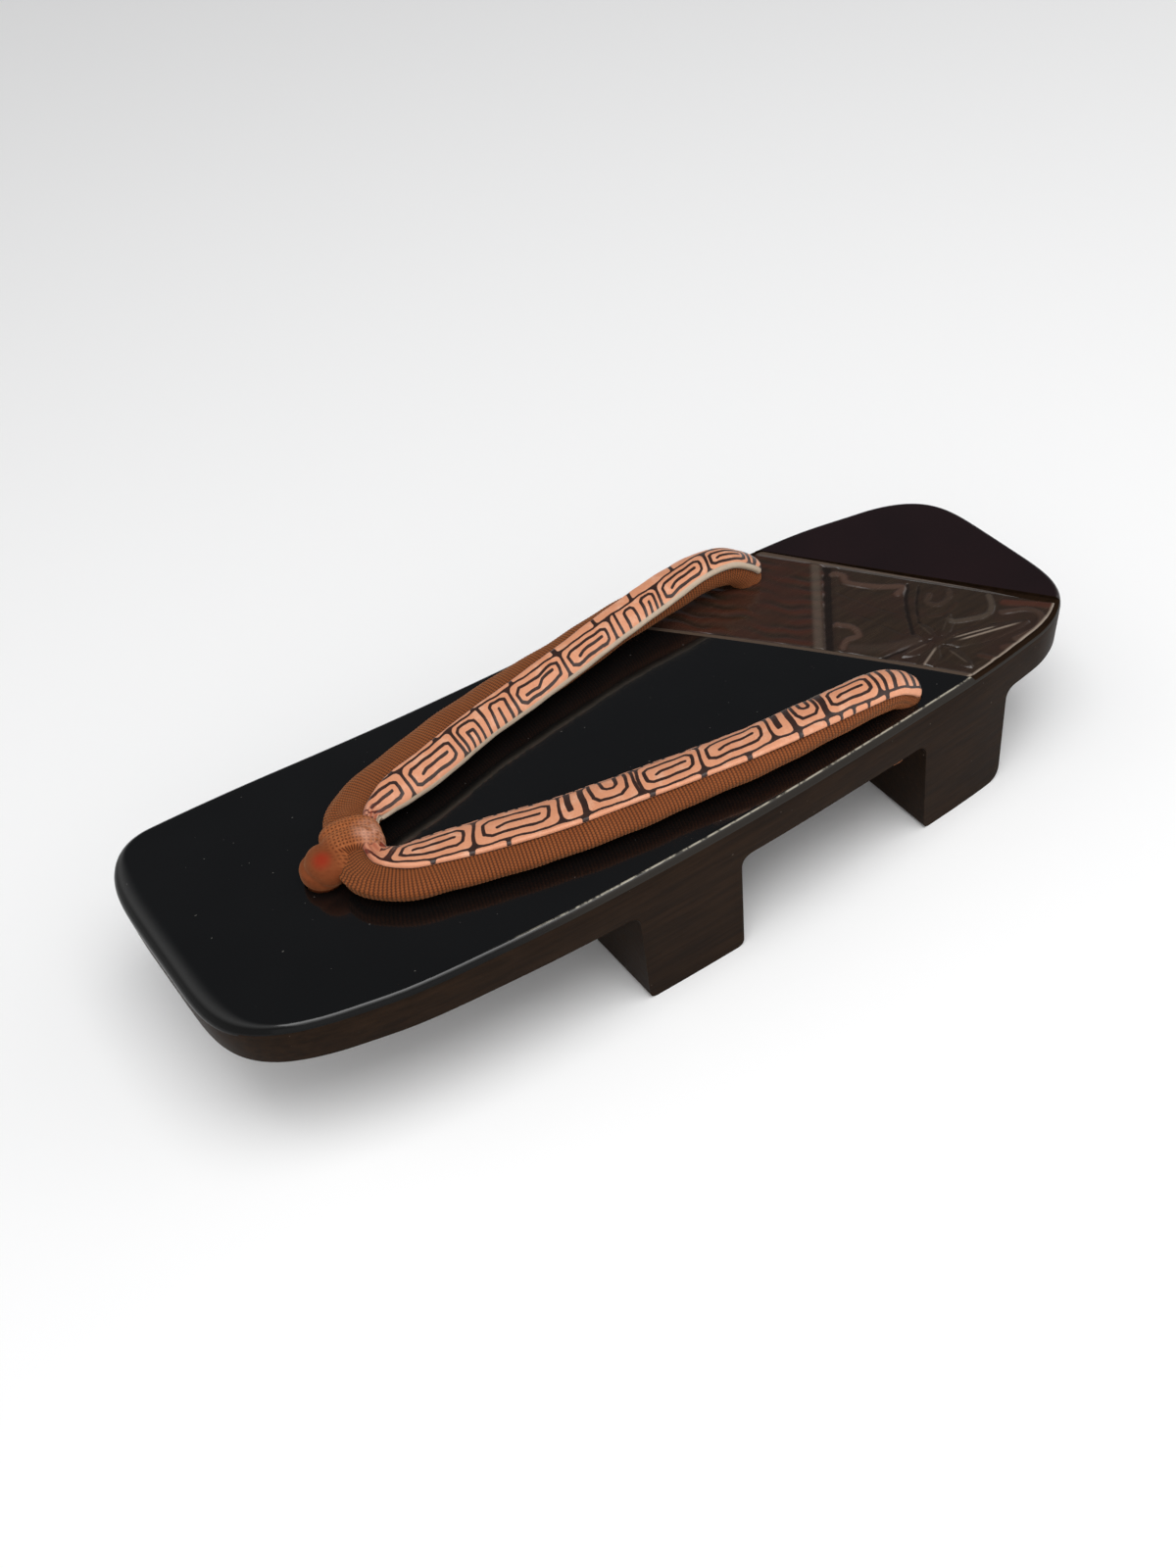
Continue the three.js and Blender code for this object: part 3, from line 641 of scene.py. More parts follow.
def carvedWood():
    # Dark brown lacquer over knife-cut wood: satin, paler on the borders and the worn crests, reddish in
    # places, with painted shade nearly black in the low cuts
    material, tree, shader = newMaterial("carvedWood")
    where = node(tree, "ShaderNodeTexCoord", out="Object")
    pale, red, deep, rim = (node(tree, "ShaderNodeAttribute", out="Fac", attribute_name=name)
                            for name in ("pale", "red", "deep", "rim"))
    drawn = node(tree, "ShaderNodeMapping", {0: where, 3: (1.0, 0.1, 1.0)})
    grain = node(tree, "ShaderNodeTexNoise",
                 {"Vector": drawn, "Scale": perMm(bandFinish["grain"]), "Detail": 4.0, "Roughness": 0.6})
    cloud = node(tree, "ShaderNodeTexNoise",
                 {"Vector": where, "Scale": perMm(bandFinish["cloud"]), "Detail": 2.5, "Roughness": 0.55})
    tone = node(tree, "ShaderNodeMapRange", {0: grain, 1: 0.2, 2: 0.8}, **smooth)
    color = node(tree, "ShaderNodeMix",
                 {0: tone, 6: srgb(bandFinish["dark"]), 7: srgb(bandFinish["light"])},
                 2, **colors)
    # The last layer is painted shade, nearly black where the carving is lowest
    layers = (("patch", node(tree, "ShaderNodeMapRange", {0: cloud, 1: 0.4, 2: 0.65, 4: 0.4}, **smooth)),
              ("red", node(tree, "ShaderNodeMath", {0: red, 1: 0.8}, **times)),
              ("border", node(tree, "ShaderNodeMapRange", {0: rim, 1: 2.0, 2: 1.6, 4: 0.85}, **smooth)),
              ("worn", node(tree, "ShaderNodeMapRange", {0: pale, 1: 0.0, 2: 1.0}, **smooth)),
              ("deep", node(tree, "ShaderNodeMath", {0: deep, 1: 0.75}, **times)))
    for name, share in layers:
        color = node(tree, "ShaderNodeMix", {0: share, 6: color, 7: srgb(bandFinish[name])}, 2, **colors)
    rough = node(tree, "ShaderNodeMath", {0: grain, 1: 0.12, 2: 0.2}, **timesPlus)
    bordered = node(tree, "ShaderNodeMapRange", {0: rim, 1: 2.2, 2: 1.8, 4: 0.25}, **smooth)
    rough = node(tree, "ShaderNodeMath", {0: bordered, 1: rough}, operation="ADD")
    normal = node(tree, "ShaderNodeBump", {"Height": grain, "Distance": 0.02 * mm, "Strength": 1.0})
    connect(tree, shader, color=color, roughness=rough, normal=normal, specular=0.45, coat=0.2,
            coatRoughness=0.12)
    return material


def makeBand():
    across, along = band["cells"]
    u, v = np.meshgrid(np.linspace(0, 1, across), np.linspace(0, 1, along))
    x = (u * 2 - 1) * halfWidth * 0.9
    for _ in range(6):  # its ends follow the board, whose width depends on the place
        front = bandFront(x) + band["sideGap"]
        rear = bandRear(x) - band["sideGap"]
        y = front + (rear - front) * v
        medial = np.vectorize(lambda b: boardEdge("medial", b))(y[:, 0])
        lateral = np.vectorize(heelLimit)(y[:, -1])
        inset = board["arris"] + 0.1
        x = -(medial[:, None] - inset) * (1 - u) + (lateral[:, None] - inset) * u
    height, pale, red = bandRelief(x, y)
    rim = np.minimum(y - bandFront(x), bandRear(x) - y)
    edge = smoothstep(band["border"], band["border"] + 0.5, rim)
    height = np.clip(height, band["lowest"], band["highest"]) * edge + band["borderHeight"] * (1 - edge)
    pale, red = pale * edge, red * edge
    groove = np.exp(-((rim - band["border"] - 0.4) / band["grooveWidth"]) ** 2)
    height = np.clip(height - band["grooveDepth"] * groove, 0.05, band["highest"])
    pale = np.maximum(pale, 1 - smoothstep(0.2, 0.9, (1 - u) * 2 * halfWidth))
    side = np.minimum(u, 1 - u) * 2 * halfWidth
    height = np.where(side < 0.5, np.minimum(height, 0.5), height)
    floorZ = top - band["depth"] + 0.01
    upper = np.stack([x, y, floorZ + height], axis=2).reshape(-1, 3)
    faces = gridFaces(along, across)
    rimIndex = (list(range(across)) + [r * across + across - 1 for r in range(1, along)]
                 + [(along - 1) * across + c for c in range(across - 2, -1, -1)]
                 + [r * across for r in range(along - 2, 0, -1)])
    lower = upper[rimIndex].copy()
    lower[:, 2] = floorZ
    start = len(upper)
    count = len(rimIndex)
    for i in range(count):
        j = (i + 1) % count
        faces.append((rimIndex[j], rimIndex[i], start + i, start + j))
    faces.append(tuple(start + i for i in range(count - 1, -1, -1)))
    piece = newObject("carvedBand", np.concatenate([upper, lower]), faces)
    pointAttribute(piece, "pale", np.concatenate([pale.ravel(), np.zeros(count)]))
    # Painted shade: darkest where the relief is lowest
    deep = smoothstep(0.2, 0.04, height) * edge
    pointAttribute(piece, "deep", np.concatenate([deep.ravel(), np.zeros(count)]))
    pointAttribute(piece, "red", np.concatenate([red.ravel(), np.zeros(count)]))
    pointAttribute(piece, "rim", np.concatenate([rim.ravel(), np.zeros(count)]))
    piece.data.materials.append(carvedWood())
    return piece


# The strap

strap = {
    "width": 16.4,
    "thickness": 5.9,
    "rise": 4.3,
    "facing": 1.0,
    "knot": 5.0,
    "knotFlatness": 0.5,
    "seamAt": 1.42,
    "seamWidth": 0.02,
    "seamDepth": 0.35,
    "rowsPerRib": 4,
    "gap": 0.3,
    "squareness": 0.88,
    "stepsPerRow": 16,
    "segments": 56,
    "ribPitch": 0.86,
    "ribDepth": 0.045,
    "frontLead": 2.4,
    "jointBehind": 8.0,
}
# One arm of the strap from the joint back to its hole: along, spread, skew, lead, rise on the medial and
# on the lateral arm, width, thickness, and the facing's inner edge and its outer edge on each arm.
strapTable = np.array([
    (0.0, 0.0, 1.0, 0.0, 1.12, 1.12, 0.62, 0.94, 0.98, 0.72, 0.62),
    (0.002, 0.152, 0.95, 0.6, 1.1, 1.08, 0.65, 0.94, 0.98, 0.7, 0.58),
    (0.017, 0.311, 0.57, 1.0, 1.05, 1.0, 0.74, 0.96, 1.0, 0.66, 0.52),
    (0.064, 0.432, 0.21, 0.9, 1.0, 0.92, 0.88, 1.0, 1.02, 0.58, 0.45),
    (0.117, 0.49, 0.15, 0.5, 0.97, 0.87, 0.96, 1.0, 1.02, 0.53, 0.41),
    (0.195, 0.571, 0.0, 0.2, 0.96, 0.85, 0.99, 1.0, 1.02, 0.52, 0.385),
    (0.311, 0.705, 0.0, 0.0, 0.98, 0.85, 0.963, 1.0, 1.01, 0.52, 0.38),
    (0.428, 0.79, 0.0, 0.0, 1.0, 0.87, 0.915, 1.0, 1.0, 0.5, 0.37),
    (0.545, 0.863, 0.0, 0.0, 1.08, 0.9, 0.84, 1.0, 0.98, 0.47, 0.34),
    (0.661, 0.935, 0.0, 0.0, 1.2, 0.96, 0.762, 1.03, 0.95, 0.42, 0.3),
    (0.778, 0.98, 0.0, 0.0, 1.34, 1.05, 0.707, 1.1, 0.9, 0.34, 0.25),
    (0.879, 1.003, 0.0, 0.0, 1.42, 1.1, 0.61, 1.2, 0.84, 0.22, 0.18),
    (0.942, 1.008, 0.0, 0.0, 1.2, 1.0, 0.56, 1.24, 0.82, 0.15, 0.14),
    (0.977, 1.003, 0.0, 0.0, 0.7, 0.62, 0.54, 1.24, 0.82, 0.12, 0.12),
])


def strapStations(side):
    sign = 1 if side == "lateral" else -1
    upper, lower = holeEnds(side)
    front, _ = holeEnds("front")
    joint = np.array([front[0], front[1] + strap["jointBehind"], top])
    inHole = board["holeDiameter"] / 2 - strap["gap"]
    rows = []
    for along, spread, skew, lead, *rises, width, thick, inner, outerMedial, outerLateral in strapTable:
        rise = rises[1] if side == "lateral" else rises[0]
        x = holesAt["rearLateral"] + sign * spread * holesAt["rearSpread"] / 2
        rows.append([
            x + (joint[0] - holesAt["rearLateral"]) * skew,
            joint[1] + (upper[1] - joint[1]) * along - sign * lead * strap["frontLead"],
            top + rise * strap["rise"],
            width * strap["width"] / 2, thick * strap["thickness"] / 2,
            inner, outerLateral if side == "lateral" else outerMedial])
    for share in (0.04, 0.4, 1.1):
        rows.append([*(upper + (lower - upper) * share), inHole, inHole, *rows[-1][5:]])
    steps = strap["stepsPerRow"]
    line = catmull(rows, steps)
    forward = np.gradient(line[:, :3], axis=0)
    flat = forward.copy()
    flat[:, 2] = 0
    flat /= np.linalg.norm(flat, axis=1)[:, None]
    turnAt = (len(strapTable) - 1) * steps
    flat[turnAt:] = flat[turnAt - 1]
    forward /= np.linalg.norm(forward, axis=1)[:, None]
    across = np.stack([sign * flat[:, 1], -sign * flat[:, 0], np.zeros(len(flat))], axis=1)
    up = np.cross(across, forward) * sign
    up /= np.linalg.norm(up, axis=1)[:, None]
    travelled = np.concatenate([[0], np.cumsum(np.linalg.norm(np.diff(line[:, :3], axis=0), axis=1))])
    return {"place": line[:, :3], "across": across, "up": up, "half": line[:, 3], "thick": line[:, 4],
            "inner": line[:, 5], "outer": line[:, 6], "along": travelled}


def resample(stations, along, at):
    # The same stations at other places along the arm
    made = {}
    for key, values in stations.items():
        if values.ndim == 1:
            made[key] = np.interp(at, along, values)
        else:
            made[key] = np.stack([np.interp(at, along, values[:, c]) for c in range(3)], axis=1)
    for key in ("across", "up"):
        made[key] /= np.linalg.norm(made[key], axis=1)[:, None]
    return made


def strapPoints(st, turns, grow):
    # Section points of every station: turns is one row for each station, in half turns
    power = strap["squareness"]
    c, s = np.cos(math.pi * turns), np.sin(math.pi * turns)
    a = np.sign(c) * np.abs(c) ** power * (st["half"][:, None] + grow)
    b = np.sign(s) * np.abs(s) ** power * (st["thick"][:, None] + grow)
    return (st["place"][:, None, :] + st["across"][:, None, :] * a[..., None]
            + st["up"][:, None, :] * b[..., None])


def aroundLengths(points):
    steps = np.linalg.norm(np.diff(points, axis=1), axis=2)
    return np.concatenate([np.zeros((len(points), 1)), np.cumsum(steps, axis=1)], axis=1)


def armMesh(side):
    st = strapStations(side)
    count = strap["segments"]
    around = np.linspace(0, 2, count, endpoint=False)
    rough = strapPoints(st, np.tile(around, (len(st["along"]), 1)), 0.0)
    fibre = np.linalg.norm(np.diff(rough, axis=0), axis=2)
    ribs = np.concatenate([[0], np.cumsum((fibre.max(axis=1) + fibre.mean(axis=1)) / 2)])
    at = np.arange(0, ribs[-1], strap["ribPitch"] / strap["rowsPerRib"])
    st = resample(st, ribs, at)
    turns = np.tile(around, (len(at), 1))
    along = st["along"][:, None]
    total = st["along"][-1]
    soft = 0.1 * np.sin(along * 0.21 + 3 * turns) + 0.07 * np.sin(along * 0.47 - 2.2 * turns * math.pi)
    gather = np.exp(-((along - 7) / 6.0) ** 2) * 0.22 * np.sin(turns * math.pi * 9 + 0.4 * np.sin(along))
    seam = -strap["seamDepth"] * np.exp(-(((turns - strap["seamAt"]) % 2) / strap["seamWidth"]) ** 2)
    fade = smoothstep(0, 3, along) * (1 - smoothstep(total - 22, total - 16, along))
    points = strapPoints(st, turns, (soft + gather + seam) * fade)
    if side == "lateral":
        points = points[:, ::-1]
        turns = turns[:, ::-1]
    length = aroundLengths(points)
    uv = np.stack([np.broadcast_to(at[:, None], turns.shape), length], axis=2).reshape(-1, 2)
    faces = gridFaces(len(points), count, closed=True)
    faces.append(tuple(range(count - 1, -1, -1)))
    faces.append(tuple((len(points) - 1) * count + i for i in range(count)))
    return points.reshape(-1, 3), faces, uv


def ballMesh(centre, radii, count=48, rings=32, power=1.0):
    phi = np.linspace(-math.pi / 2, math.pi / 2, rings + 1)[1:-1]
    theta = np.linspace(0, 2 * math.pi, count, endpoint=False)
    c = np.sign(np.cos(phi)) * np.abs(np.cos(phi)) ** power
    s = np.sign(np.sin(phi)) * np.abs(np.sin(phi)) ** power
    x = np.outer(c, np.cos(theta)) * radii[0] + centre[0]
    y = np.outer(c, np.sin(theta)) * radii[1] + centre[1]
    z = np.outer(s, np.ones(count)) * radii[2] + centre[2]
    points = np.stack([x, y, z], axis=2).reshape(-1, 3)
    faces = gridFaces(rings - 1, count, closed=True)
    faces.append(tuple(range(count - 1, -1, -1)))
    faces.append(tuple((rings - 2) * count + i for i in range(count)))
    uv = np.stack([np.tile(theta * radii[0], (rings - 1, 1)), np.tile(phi[:, None] * radii[2], (1, count))],
                  axis=2).reshape(-1, 2)
    return points, faces, uv


def mergeMeshes(parts):
    points, faces, uvs, start = [], [], [], 0
    for p, f, uv in parts:
        points.append(p)
        uvs.append(uv)
        faces += [tuple(start + i for i in face) for face in f]
        start += len(p)
    return np.concatenate(points), faces, np.concatenate(uvs)


def knotMesh(name):
    upper, lower = holeEnds(name)
    flat = strap["knotFlatness"]
    radius = strap["knot"]
    z = under - strap["gap"] - radius * flat
    lean = (lower[1] - upper[1]) / board["thickness"]
    y = lower[1] + lean * (strap["gap"] + radius * flat)
    return ballMesh((lower[0], y, z), (radius, radius, radius * flat))


ribbedFinish = {"low": ("3e1c08", "4b240b"), "high": ("82441d", "925127"), "sheen": "e0a878",
                "thread": 0.62, "stray": 0.1, "cloud": 7.0, "fuzz": 0.18, "relief": 0.11}


def ribbedCloth():
    # Woven ribbed cotton in brown: ribs across the strap with fine threads over them, matt with a warm
    # sheen; the ribs are drawn as wide as they need to show
    material, tree, shader = newMaterial("ribbedCloth")
    where = node(tree, "ShaderNodeTexCoord", out="Object")
    uv = node(tree, "ShaderNodeUVMap", uv_map="UVMap")
    alongM, aroundM, _ = node(tree, "ShaderNodeSeparateXYZ", {0: uv}).node.outputs
    stray = node(tree, "ShaderNodeTexNoise",
                 {"Vector": where, "Scale": perMm(2.4), "Detail": 2.0, "Roughness": 0.55})
    cloud = node(tree, "ShaderNodeTexNoise",
                 {"Vector": where, "Scale": perMm(ribbedFinish["cloud"]), "Detail": 3.0, "Roughness": 0.55})
    fuzz = node(tree, "ShaderNodeTexNoise",
                {"Vector": where, "Scale": perMm(ribbedFinish["fuzz"]), "Detail": 2.0, "Roughness": 0.55})
    along = node(tree, "ShaderNodeMath", {0: alongM, 1: 1 / mm}, **times)
    along = node(tree, "ShaderNodeMath", {0: stray, 1: ribbedFinish["stray"], 2: along}, **timesPlus)
    around = node(tree, "ShaderNodeMath", {0: aroundM, 1: 1 / mm}, **times)
    ribAngle = node(tree, "ShaderNodeMath", {0: along, 1: 2 * math.pi / strap["ribPitch"]}, **times)
    rib = node(tree, "ShaderNodeMath", {0: ribAngle}, operation="SINE")
    rib = node(tree, "ShaderNodeMath", {0: rib, 1: 0.5, 2: 0.5}, **timesPlus)
    rib = node(tree, "ShaderNodeMath", {0: rib, 1: 0.6}, operation="POWER")
    row = node(tree, "ShaderNodeMath", {0: along, 1: 1 / strap["ribPitch"], 2: 0.25}, **timesPlus)
    row = node(tree, "ShaderNodeMath", {0: row}, operation="FLOOR")
    shift = node(tree, "ShaderNodeMath", {0: row, 1: 0.5}, **times)
    turns = node(tree, "ShaderNodeMath", {0: around, 1: 1 / ribbedFinish["thread"], 2: shift}, **timesPlus)
    threadAngle = node(tree, "ShaderNodeMath", {0: turns, 1: 2 * math.pi}, **times)
    thread = node(tree, "ShaderNodeMath", {0: threadAngle}, operation="SINE")
    thread = node(tree, "ShaderNodeMath", {0: thread, 1: 0.5, 2: 0.5}, **timesPlus)
    height = node(tree, "ShaderNodeMath", {0: thread, 1: 0.55, 2: rib}, **timesPlus)
    lit = node(tree, "ShaderNodeMapRange", {0: height, 1: 0.2, 2: 1.5}, **smooth)
    low, high = (node(tree, "ShaderNodeMix", {0: cloud, 6: srgb(a), 7: srgb(b)}, 2, **colors)
                 for a, b in (ribbedFinish["low"], ribbedFinish["high"]))
    color = node(tree, "ShaderNodeMix", {0: lit, 6: low, 7: high}, 2, **colors)
    height = node(tree, "ShaderNodeMath", {0: fuzz, 1: 0.25, 2: height}, **timesPlus)
    normal = node(tree, "ShaderNodeBump",
                  {"Height": height, "Distance": ribbedFinish["relief"] * mm, "Strength": 1.0})
    connect(tree, shader, color=color, roughness=0.82, normal=normal, specular=0.25, sheen=0.35,
            sheenRoughness=0.4, sheenTint=srgb(ribbedFinish["sheen"]))
    return material


def raiseRibs(piece, cloth):
    # The ribs of the woven cloth, raised along the way that each arm runs
    tree = bpy.data.node_groups.new("raisedRibs", "GeometryNodeTree")
    sockets = {}
    for name, kind in (("Geometry", "Geometry"), ("Rib pitch", "Float"), ("Rib depth", "Float"),
                       ("Cloth", "Material")):
        sockets[name] = tree.interface.new_socket(name, in_out="INPUT", socket_type="NodeSocket" + kind)
    tree.interface.new_socket("Geometry", in_out="OUTPUT", socket_type="NodeSocketGeometry")
    given = node(tree, "NodeGroupInput").node.outputs
    along = node(tree, "GeometryNodeInputNamedAttribute",
                 {"Name": "ribAlong"}, "Attribute", data_type="FLOAT")
    turns = node(tree, "ShaderNodeMath", {0: along, 1: given["Rib pitch"]}, operation="DIVIDE")
    angle = node(tree, "ShaderNodeMath", {0: turns, 1: 2 * math.pi}, **times)
    wave = node(tree, "ShaderNodeMath", {0: angle}, operation="SINE")
    rise = node(tree, "ShaderNodeMath", {0: wave, 1: given["Rib depth"]}, **times)
    outward = node(tree, "GeometryNodeInputNormal")
    offset = node(tree, "ShaderNodeVectorMath", {0: outward, "Scale": rise}, operation="SCALE")
    raised = node(tree, "GeometryNodeSetPosition", {"Geometry": given["Geometry"], "Offset": offset})
    whole = node(tree, "GeometryNodeRealizeInstances", {"Geometry": raised})
    dressed = node(tree, "GeometryNodeSetMaterial", {"Geometry": whole, "Material": given["Cloth"]})
    node(tree, "NodeGroupOutput", {0: dressed})
    ribs = piece.modifiers.new("ribs", "NODES")
    ribs.node_group = tree
    ribs[sockets["Rib pitch"].identifier] = strap["ribPitch"] * mm
    ribs[sockets["Rib depth"].identifier] = strap["ribDepth"] * mm
    ribs[sockets["Cloth"].identifier] = cloth
    bake(piece)


def makeStrap():
    parts = [armMesh("lateral"), armMesh("medial"), knotMesh("lateral"), knotMesh("medial")]
    points, faces, uv = mergeMeshes(parts)
    piece = newObject("hanaoCloth", points, faces)
    uvFromPoints(piece, uv)
    onArms = np.arange(len(points)) < len(parts[0][0]) + len(parts[1][0])
    pointAttribute(piece, "ribAlong", np.where(onArms, uv[:, 0] * mm, 0.0))
    raiseRibs(piece, ribbedCloth())
    return piece


# The facings and their pattern

# The chart of the printed facing, drawn one by one. Each motif is (kind, start, end) in millimetres along
# the facing; the row of motifs runs between two edges, given as (along, from the inner edge) pairs.
chart = {
    "cell": 0.24,
    "columns": 60,
    "slant": 1.9,
    "gap": 0.42,
    "endBefore": 14.5,
    "lineDepth": 0.07,
    "edgeDrop": 0.7,
    "edgeRound": 0.8,
    "medial": {
        "from": 8.0,
        "tuck": 3.2,
        "line": 0.42,
        "topDown": -1,
        "low": ((0, 1.1), (32, 1.3), (67, 1.2), (84, 0.9), (100, 0.8), (116, 1.3), (132, 1.3)),
        "high": ((0, 7.4), (8, 8.8), (32, 9.2), (67, 8.2), (84, 7.6), (100, 7.4), (116, 8.0), (132, 7.0)),
        "motifs": (("spiral", -2.5, 15.5), ("spiral", 15.5, 31.6), ("hairpins", 31.6, 50.6),
                   ("double", 50.6, 67.4),
                   ("spiral", 67.4, 83.8), ("bars", 83.8, 99.5), ("spiral", 99.5, 115.8),
                   ("spiral", 115.8, 126.5),
                   ("bars", 126.5, 137.0)),
        "islands": ((2, 13), (14, 27), (28.2, 40), (41, 52), (53, 66), (67.5, 80), (81, 92), (93, 106),
                    (107, 118),
                    (119, 130)),
    },
    "lateral": {
        "from": 9.0,
        "tuck": 4.2,
        "line": 0.44,
        "topDown": 1,
        "low": ((0, 2.4), (7, 3.6), (14, 4.3), (25, 4.4), (45, 4.1), (78, 3.6), (97, 1.9), (124, 1.6),
                (134, 1.6)),
        "high": ((0, 6.6), (6, 9.4), (14, 12.4), (25, 13.6), (45, 13.4), (63, 13.0), (78, 12.4), (97, 11.0),
                 (110, 10.6), (124, 10.0), (134, 9.6)),
        "motifs": (("hook", -4.0, 6.4), ("spiral", 6.4, 25.4), ("spiral", 25.4, 45.0), ("slot", 45.0, 51.0),
                   ("cup", 51.0, 64.2), ("spiral", 64.2, 79.2), ("spiral", 79.2, 97.2),
                   ("slot", 97.2, 103.0),
                   ("cup", 103.0, 111.6), ("spiral", 111.6, 125.0), ("bars", 125.0, 138.0)),
        "islands": ((-3, 15.5), (16.6, 24.0), (25.4, 32.6), (33.6, 49.6), (51.0, 65.6), (67.0, 78.0),
                    (79.4, 89.6),
                    (90.8, 102.8), (104, 110.0), (110.8, 113.4), (114.2, 117), (117.8, 121),
                    (121.8, 126), (127, 136)),
    },
}
# Lines of each motif on a square: along the strip, and across it from the side that the crest is on.
motifLines = {
    "spiral": (((0.88, 0.5), (0.87, 0.70), (0.80, 0.78), (0.20, 0.79), (0.12, 0.70), (0.11, 0.32),
                (0.18, 0.22),
                (0.80, 0.21), (0.87, 0.30), (0.88, 0.5)),
               ((0.76, 0.47), (0.36, 0.50), (0.28, 0.56))),
    "double": (((0.90, 0.5), (0.88, 0.72), (0.60, 0.80), (0.18, 0.82), (0.10, 0.70), (0.10, 0.40),
                (0.18, 0.24),
                (0.52, 0.26), (0.80, 0.18), (0.89, 0.26), (0.90, 0.5)),
               ((0.22, 0.60), (0.46, 0.60), (0.56, 0.42), (0.78, 0.40))),
    "hairpins": (((0.07, 1.0), (0.08, 0.24), (0.14, 0.14), (0.32, 0.14), (0.38, 0.24), (0.39, 1.0)),
                 ((0.18, 1.0), (0.19, 0.46), (0.28, 0.46), (0.29, 1.0)), ((0.52, 0.0), (0.52, 1.0)),
                 ((0.64, 1.0), (0.65, 0.24), (0.70, 0.14), (0.84, 0.14), (0.90, 0.24), (0.90, 1.0)),
                 ((0.77, 1.0), (0.77, 0.42))),
    "bars": (((0.14, 0.0), (0.14, 1.0)), ((0.30, 1.0), (0.31, 0.24), (0.36, 0.15), (0.46, 0.15),
             (0.50, 0.26),
             (0.50, 1.0)), ((0.66, 1.0), (0.66, 0.26), (0.71, 0.15), (0.85, 0.15), (0.90, 0.26),
             (0.90, 1.0)),
             ((0.78, 1.0), (0.78, 0.46))),
    "hook": (((0.36, 0.0), (0.40, 0.42), (0.54, 0.56), (0.70, 0.44), (0.74, 0.0)), ((0.90, 0.0),
             (0.92, 1.0))),
    "slot": (((0.30, 0.0), (0.36, 0.72)), ((0.42, 0.0), (0.46, 0.70)), ((0.86, 0.0), (0.90, 1.0))),
    "cup": (((0.13, 0.0), (0.16, 0.60), (0.26, 0.78), (0.66, 0.78), (0.78, 0.62), (0.78, 0.0)),
            ((0.34, 0.0), (0.36, 0.36), (0.42, 0.44), (0.54, 0.44), (0.60, 0.36), (0.61, 0.0)),
            ((0.90, 0.0), (0.94, 1.0))),
}


def roundedBox(s, t, lowS, highS, lowT, highT, radius):
    # Signed distance from a rounded box: less than nothing inside it
    cs, ct = (lowS + highS) / 2, (lowT + highT) / 2
    qs = np.abs(s - cs) - (highS - lowS) / 2 + radius
    qt = np.abs(t - ct) - (highT - lowT) / 2 + radius
    return np.hypot(np.maximum(qs, 0), np.maximum(qt, 0)) + np.minimum(np.maximum(qs, qt), 0) - radius


def inkDistance(s, t, width, plan):
    # Distance in millimetres from the dark lines, less than nothing within them
    along = s[:, 0]
    low = np.interp(along, *zip(*plan["low"]))[:, None]
    high = np.interp(along, *zip(*plan["high"]))[:, None]
    row = high - low
    over = t - low if plan["topDown"] > 0 else high - t
    sheared = s - chart["slant"] * (0.5 - over / row)
    ws = sheared + 0.12 * np.sin(over * 0.9 + s * 0.35) + 0.06 * np.sin(s * 1.1)
    wo = over + 0.12 * np.sin(s * 0.6 + 0.6) + 0.06 * np.sin(s * 1.4 + over)
    ink = np.full(s.shape, 1e3)
    ground = np.full(s.shape, 1e3)
    for kind, start, end in plan["motifs"]:
        near = (ws > start - 1.5) & (ws < end + 1.5)
        tall = np.broadcast_to(row, s.shape)[near]
        a, o = ws[near], wo[near]
        best = np.full(a.shape, 1e3)
        long = end - start
        for line in motifLines[kind]:
            for (pa, qa), (pb, qb) in zip(line[:-1], line[1:]):
                away, _ = stroke(a, o, start + pa * long, qa * tall, start + pb * long, qb * tall)
                best = np.minimum(best, away)
        ink[near] = np.minimum(ink[near], best - plan["line"])
        shape = roundedBox(a, o - tall / 2, start + chart["gap"], end - chart["gap"],
                           -tall / 2, tall / 2, 1.5)
        ground[near] = np.minimum(ground[near], shape)
    outside = wo - row if plan["topDown"] > 0 else -wo
    reach = width - high
    for start, end in plan["islands"]:
        shape = roundedBox(ws, outside, start, end, 0.65, reach + 3, 0.6)
        ground = np.minimum(ground, shape)
    strip = np.abs(t - low / 2 - 0.3) - (low - 1.0) / 2
    broken = np.sin(s * 1.9 + 2.0 * np.sin(s * 0.37)) * 0.5
    ground = np.minimum(ground, np.maximum(strip, broken - 0.35))
    return np.minimum(ink, -ground)


# The darkest red-brown is painted shade in the pleats where the facing tucks in under the loop
facingFinish = {"ground": ("cd8762", "dd9d7a"), "rubbed": "ecc4aa", "mottle": "be7754",
                "line": ("1d110d", "3c2219"),
                "tuckShade": "8c3620", "cutEdge": "b8a690", "edgeFrom": 1.7, "edgeTo": 1.4, "relief": 0.09}


